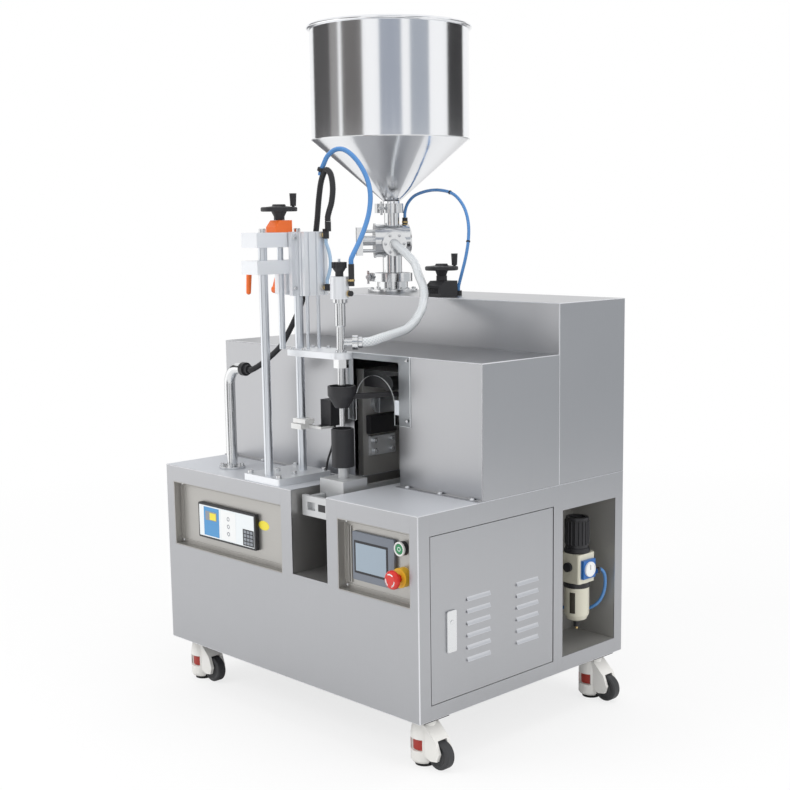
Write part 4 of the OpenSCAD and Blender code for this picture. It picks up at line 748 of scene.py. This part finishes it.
# Screws of the housing's flange and the guard, the latch's key and the hopper's weld
def fitSheetwork():
    for i, x in enumerate((24, 150, 290, 450, 668, 770, 866)):
        domeNut(f"flangeScrew{i}", onDeck(x, 185, 2), (0, 0, 1), 10, paleAluminium)
    for i, (x, z) in enumerate(((478, 834), (666, 834), (666, 700))):
        domeNut(f"guardScrew{i}", at(x, 188.9, z), (0, -1, 0), 7)
    turned("latchKey", [(0, 1.4), (4.2, 1.4), (5, 0.8), (5, 0), (0, 0)], at(894, 93, 311), (1, 0, 0), castSteel,
           "panel_steel", "door_latch", steps=24)
    wall = towerZ + 387
    turned("hopperWeld", [(201.6, -1.2), (202.5, -1.2), (202.9, 0), (202.5, 1.2), (201.6, 1.2), (201.6, -1.2)],
           at(*hopperAxis, wall), (0, 0, 1), castSteel, "polished_steel", steps=128)


fitSheetwork()


# Back of the machine: two screwed access covers, cooling slots as dark strips (painted shade in the slots) and the
# mains gland
backCovers = {"Low": ((90, 150), (800, 500)), "High": ((70, 596), (820, 916))}


def fitBack():
    rear = layout["depth"]
    for name, ((x0, z0), (x1, z1)) in backCovers.items():
        plate(f"backCover{name}", (x0, rear, z0), (x1, rear + 1.5, z1), 0.5, steelSheet, "cabinet_steel")
        for i in range(4):
            x = x0 + 14 + (x1 - x0 - 28) * i / 3
            for j, z in enumerate((z0 + 14, z1 - 14)):
                domeNut(f"backScrew{name}{i}{j}", at(x, rear + 1.5, z), (0, 1, 0), 9)
    # Each cooling slot is a dark strip on the cover: painted shade in the slot.
    for column, x in enumerate((170, 640)):
        for row in range(7):
            z = 380 + 14 * row
            plate(f"coolingSlotShade{column}{row}", (x, rear + 1.2, z), (x + 80, rear + 1.65, z + 4), 0.15,
                  blackPlastic, "cabinet_steel")
    turned("mainsGland", [(0, 16), (6, 16), (8.5, 13), (9, 6), (12.5, 6), (13, 5), (13, 0), (0, 0)],
           at(740, rear + 1.5, 200), (0, 1, 0), blackPlastic, "cabinet_steel", steps=32)


fitBack()


# Folded trim inside the two instrument pans, and the rail strips at the left of the control pan
pans = {"Wide": (30, 450), "Control": (642, 866)}
panTrim = {"z": (353, 511), "inset": 9, "width": 3, "front": 18.6, "back": 20.1}


def fitPanTrim():
    low, high = panTrim["z"][0] + panTrim["inset"], panTrim["z"][1] - panTrim["inset"]
    front, rear, w = panTrim["front"], panTrim["back"], panTrim["width"]
    for name, (x0, x1) in pans.items():
        left, right = x0 + panTrim["inset"], x1 - panTrim["inset"]
        for side, a, b in (("Low", (left, low), (right, low + w)), ("High", (left, high - w), (right, high)),
                           ("Left", (left, low), (left + w, high)), ("Right", (right - w, low), (right, high))):
            plate(f"panTrim{name}{side}", (a[0], front, a[1]), (b[0], rear, b[1]), 0.5, steelPanel,
                  "panel_steel")
    for i, x in enumerate((657, 665)):
        plate(f"panRail{i}", (x, front - 2, low + 8), (x + 3, rear, high - 8), 0.6, steelPanel, "panel_steel")


fitPanTrim()


# Electrical board behind the door: contactor levers, terminal screws, drive keypad and supply vents as dark strips
# (painted shade in the vents), each from the face of its device
board = {"contactors": 674, "terminals": 654, "drive": 694, "supply": 684}


def fitElectrics():
    slot = "board_grey"
    x = board["contactors"]
    for i in range(5):
        y = 80 + 58 * i
        plate(f"contactorLever{i}", (x - 0.5, y + 16, 346), (x + 5, y + 28, 364), 1, blackPlastic, slot)
        plate(f"contactorBand{i}", (x - 0.5, y + 3, 376), (x + 0.8, y + 41, 386), 0.3, coverBlue, slot)
    x = board["terminals"]
    for i in range(14):
        capScrew(f"terminalScrew{i}", at(x - 0.4, 92 + 20 * i, 448), (1, 0, 0), 8, castSteel, slot)
    x = board["drive"]
    plate("driveKeypad", (x - 0.5, 240, 222), (x + 2, 304, 276), 0.8, blackPlastic, slot)
    plate("driveScreen", (x + 1.6, 248, 252), (x + 2.4, 296, 270), 0.3, displayBlue, slot)
    # Each supply vent is a dark strip on the face: painted shade in the vent.
    x = board["supply"]
    for i in range(6):
        z = 196 + 11 * i
        plate(f"supplyVentShade{i}", (x - 0.3, 96, z), (x + 0.4, 184, z + 5), 0.2, blackPlastic, slot)


fitElectrics()


# Red windows of the casters' dials, flush with their housings
def fitDialWindows():
    window = [(29.4, 0), (30.05, 0), (30.05, 23), (29.4, 23), (29.4, 0)]
    spread = 70
    for corner, (x, y) in swivels.items():
        for side, middle in (("Front", -90), ("Back", 90)):
            turned(f"dialWindow{side}{corner.title()}", window, at(x, y, 36.5), (0, 0, 1), dialRed, "caster_white",
                   bodyOf["caster_" + corner], steps=14, angle=math.radians(spread),
                   start=math.radians(middle - spread / 2))


fitDialWindows()


# Sealer behind the guard, and a dark plate over the opening in the cap of the cup's slide: painted shade in the
# opening
sealer = {"face": 483.0, "y": (232, 318), "bracket": (46, 92), "block": (98, 142)}


def fitSealer():
    face, (near, far) = sealer["face"], sealer["y"]
    low, high = sealer["bracket"]
    plate("sealerBracket", (face, near + 6, deckZ + low), (face + 9, far, deckZ + high), 1.5, paleAluminium,
          "black_metal")
    corners = [(y, z) for y in (near + 18, far - 14) for z in (low + 11, high - 11)]
    for i, (y, z) in enumerate(corners):
        capScrew(f"sealerScrew{i}", at(face + 9, y, deckZ + z), (1, 0, 0), 12)
    low, high = sealer["block"]
    plate("sealerBlock", (face, near, deckZ + low), (face + 16, far, deckZ + high), 2, blackPlastic,
          "black_metal")
    # Dark plate in the cap's opening: painted shade.
    plate("slideCapOpeningShade", (552, 23.7, deckZ - 43), (576, 24.2, deckZ - 27), 0.1, blackPlastic, "column_steel")


fitSealer()
print("small pieces fitted")


# Floor, light and the pale studio round the machine
studio = {"floor": 16.0, "floorTone": 0.82, "fill": 0.84, "shadow": 0.24, "near": 1.3, "far": 3.2,
          "cardReach": 3.0, "cameraSide": -43.2}


# Seen by the camera the floor is mostly its own white, so the backdrop stays pale and a soft shadow remains.
def addFloor():
    clearSelection()
    bpy.ops.mesh.primitive_plane_add(size=studio["floor"], location=(0, 0, -0.0002))
    floor = bpy.context.object
    floor.name = "paleFloor"
    paint = bpy.data.materials.new("paleFloorPaint")
    paint.use_nodes = True
    tree = paint.node_tree
    shader = tree.nodes["Principled BSDF"]
    tone = studio["floorTone"]
    shader.inputs["Base Color"].default_value = (tone, tone, tone, 1)
    shader.inputs["Roughness"].default_value = 0.9
    shader.inputs["Specular IOR Level"].default_value = 0.1
    glow = tree.nodes.new("ShaderNodeEmission")
    place = tree.nodes.new("ShaderNodeTexCoord")
    reach = tree.nodes.new("ShaderNodeVectorMath")
    reach.operation = "LENGTH"
    fade = tree.nodes.new("ShaderNodeMapRange")
    fade.inputs["From Min"].default_value = studio["near"]
    fade.inputs["From Max"].default_value = studio["far"]
    fade.inputs["To Min"].default_value = 1 - studio["shadow"]
    fade.inputs["To Max"].default_value = 1.0
    path = tree.nodes.new("ShaderNodeLightPath")
    seen = tree.nodes.new("ShaderNodeMath")
    seen.operation = "MULTIPLY"
    mix = tree.nodes.new("ShaderNodeMixShader")
    link = tree.links.new
    link(place.outputs["Object"], reach.inputs[0])
    link(reach.outputs["Value"], fade.inputs["Value"])
    link(path.outputs["Is Camera Ray"], seen.inputs[0])
    link(fade.outputs["Result"], seen.inputs[1])
    link(seen.outputs["Value"], mix.inputs["Fac"])
    link(shader.outputs["BSDF"], mix.inputs[1])
    link(glow.outputs["Emission"], mix.inputs[2])
    link(mix.outputs["Shader"], tree.nodes["Material Output"].inputs["Surface"])
    floor.data.materials.append(paint)
    settle(floor)


# Cards round the hopper that only reflections see: degrees from the camera's side, heights and tone
hopperBand, housingBand = (1.42, 2.4), (-0.1, 1.3)
cards = [(-138, -92, hopperBand, (0.09, 0.087, 0.087)), (-92, -76, hopperBand, (0.30, 0.29, 0.285)),
         (-70, -38, hopperBand, (0.15, 0.142, 0.138)), (-14, 16, hopperBand, (0.36, 0.39, 0.45)),
         (28, 56, hopperBand, (0.40, 0.43, 0.48)), (88, 127, hopperBand, (0.045, 0.044, 0.045)),
         (-120, -70, housingBand, (1.36, 1.35, 1.34)), (65, 115, housingBand, (0.66, 0.68, 0.70)),
         (-62, -42, housingBand, (0.22, 0.22, 0.23)), (-18, -6, housingBand, (0.45, 0.46, 0.48)),
         (22, 46, housingBand, (0.24, 0.24, 0.25)), (128, 150, housingBand, (0.16, 0.16, 0.17)),
         (-168, -142, housingBand, (0.16, 0.16, 0.17))]


def addCards():
    centre = at(*hopperAxis, 0)
    reach = studio["cardReach"]
    for i, (low, high, (foot, head), tone) in enumerate(cards):
        middle = math.radians((low + high) / 2 + studio["cameraSide"])
        clearSelection()
        bpy.ops.mesh.primitive_plane_add(size=1, location=(0, 0, 0))
        card = bpy.context.object
        card.name = f"mirrorCard{i}"
        wide = 2 * reach * math.tan(math.radians(high - low) / 2)
        card.data.transform(Matrix.Rotation(math.pi / 2, 4, "X") @ Matrix.Diagonal((wide, head - foot, 1, 1)))
        card.data.transform(Matrix.Translation(centre + Vector((0, 0, (foot + head) / 2)))
                            @ Matrix.Rotation(middle + math.pi / 2, 4, "Z")
                            @ Matrix.Translation((0, -reach, 0)))
        paint = bpy.data.materials.new(f"mirrorCardPaint{i}")
        paint.use_nodes = True
        tree = paint.node_tree
        glow = tree.nodes.new("ShaderNodeEmission")
        glow.inputs["Color"].default_value = (*tone, 1)
        tree.links.new(glow.outputs["Emission"], tree.nodes["Material Output"].inputs["Surface"])
        card.data.materials.append(paint)
        card.visible_camera = False
        card.visible_diffuse = False
        card.visible_shadow = False
        card.visible_transmission = False


def addWorld():
    world = bpy.data.worlds.new("paleStudio")
    bpy.context.scene.world = world
    world.use_nodes = True
    tree = world.node_tree
    tree.nodes.clear()
    out = tree.nodes.new("ShaderNodeOutputWorld")
    soft = tree.nodes.new("ShaderNodeBackground")
    soft.inputs["Color"].default_value = (1, 1, 1, 1)
    soft.inputs["Strength"].default_value = studio["fill"]
    seen = tree.nodes.new("ShaderNodeBackground")
    seen.inputs["Color"].default_value = (1, 1, 1, 1)
    seen.inputs["Strength"].default_value = 1.0
    path = tree.nodes.new("ShaderNodeLightPath")
    one = tree.nodes.new("ShaderNodeMath")
    one.operation = "MAXIMUM"
    two = tree.nodes.new("ShaderNodeMath")
    two.operation = "MAXIMUM"
    mix = tree.nodes.new("ShaderNodeMixShader")
    link = tree.links.new
    link(path.outputs["Is Camera Ray"], one.inputs[0])
    link(path.outputs["Is Glossy Ray"], one.inputs[1])
    link(one.outputs["Value"], two.inputs[0])
    link(path.outputs["Is Transmission Ray"], two.inputs[1])
    link(two.outputs["Value"], mix.inputs["Fac"])
    link(soft.outputs["Background"], mix.inputs[1])
    link(seen.outputs["Background"], mix.inputs[2])
    link(mix.outputs["Shader"], out.inputs["Surface"])


def addLamp(name, place, target, size, power):
    data = bpy.data.lights.new(name, "AREA")
    data.shape = "RECTANGLE"
    data.size, data.size_y = size
    data.energy = power
    lamp = bpy.data.objects.new(name, data)
    bpy.context.collection.objects.link(lamp)
    aim = (Vector(target) - Vector(place)).to_track_quat("-Z", "Y")
    lamp.matrix_world = Matrix.Translation(place) @ aim.to_matrix().to_4x4()
    lamp.visible_glossy = False


addFloor()
addCards()
addWorld()
machineMiddle = (0, 0, 0.8)
addLamp("softKey", (-1.6, -3.2, 3.2), machineMiddle, (2.4, 1.6), 60)
addLamp("softTop", (0.4, 0.2, 4.2), machineMiddle, (2.6, 2.6), 45)
addLamp("softSide", (3.6, 0.8, 2.0), machineMiddle, (1.6, 2.2), 30)
bpy.context.scene.view_settings.view_transform = "Standard"
print("studio lit")
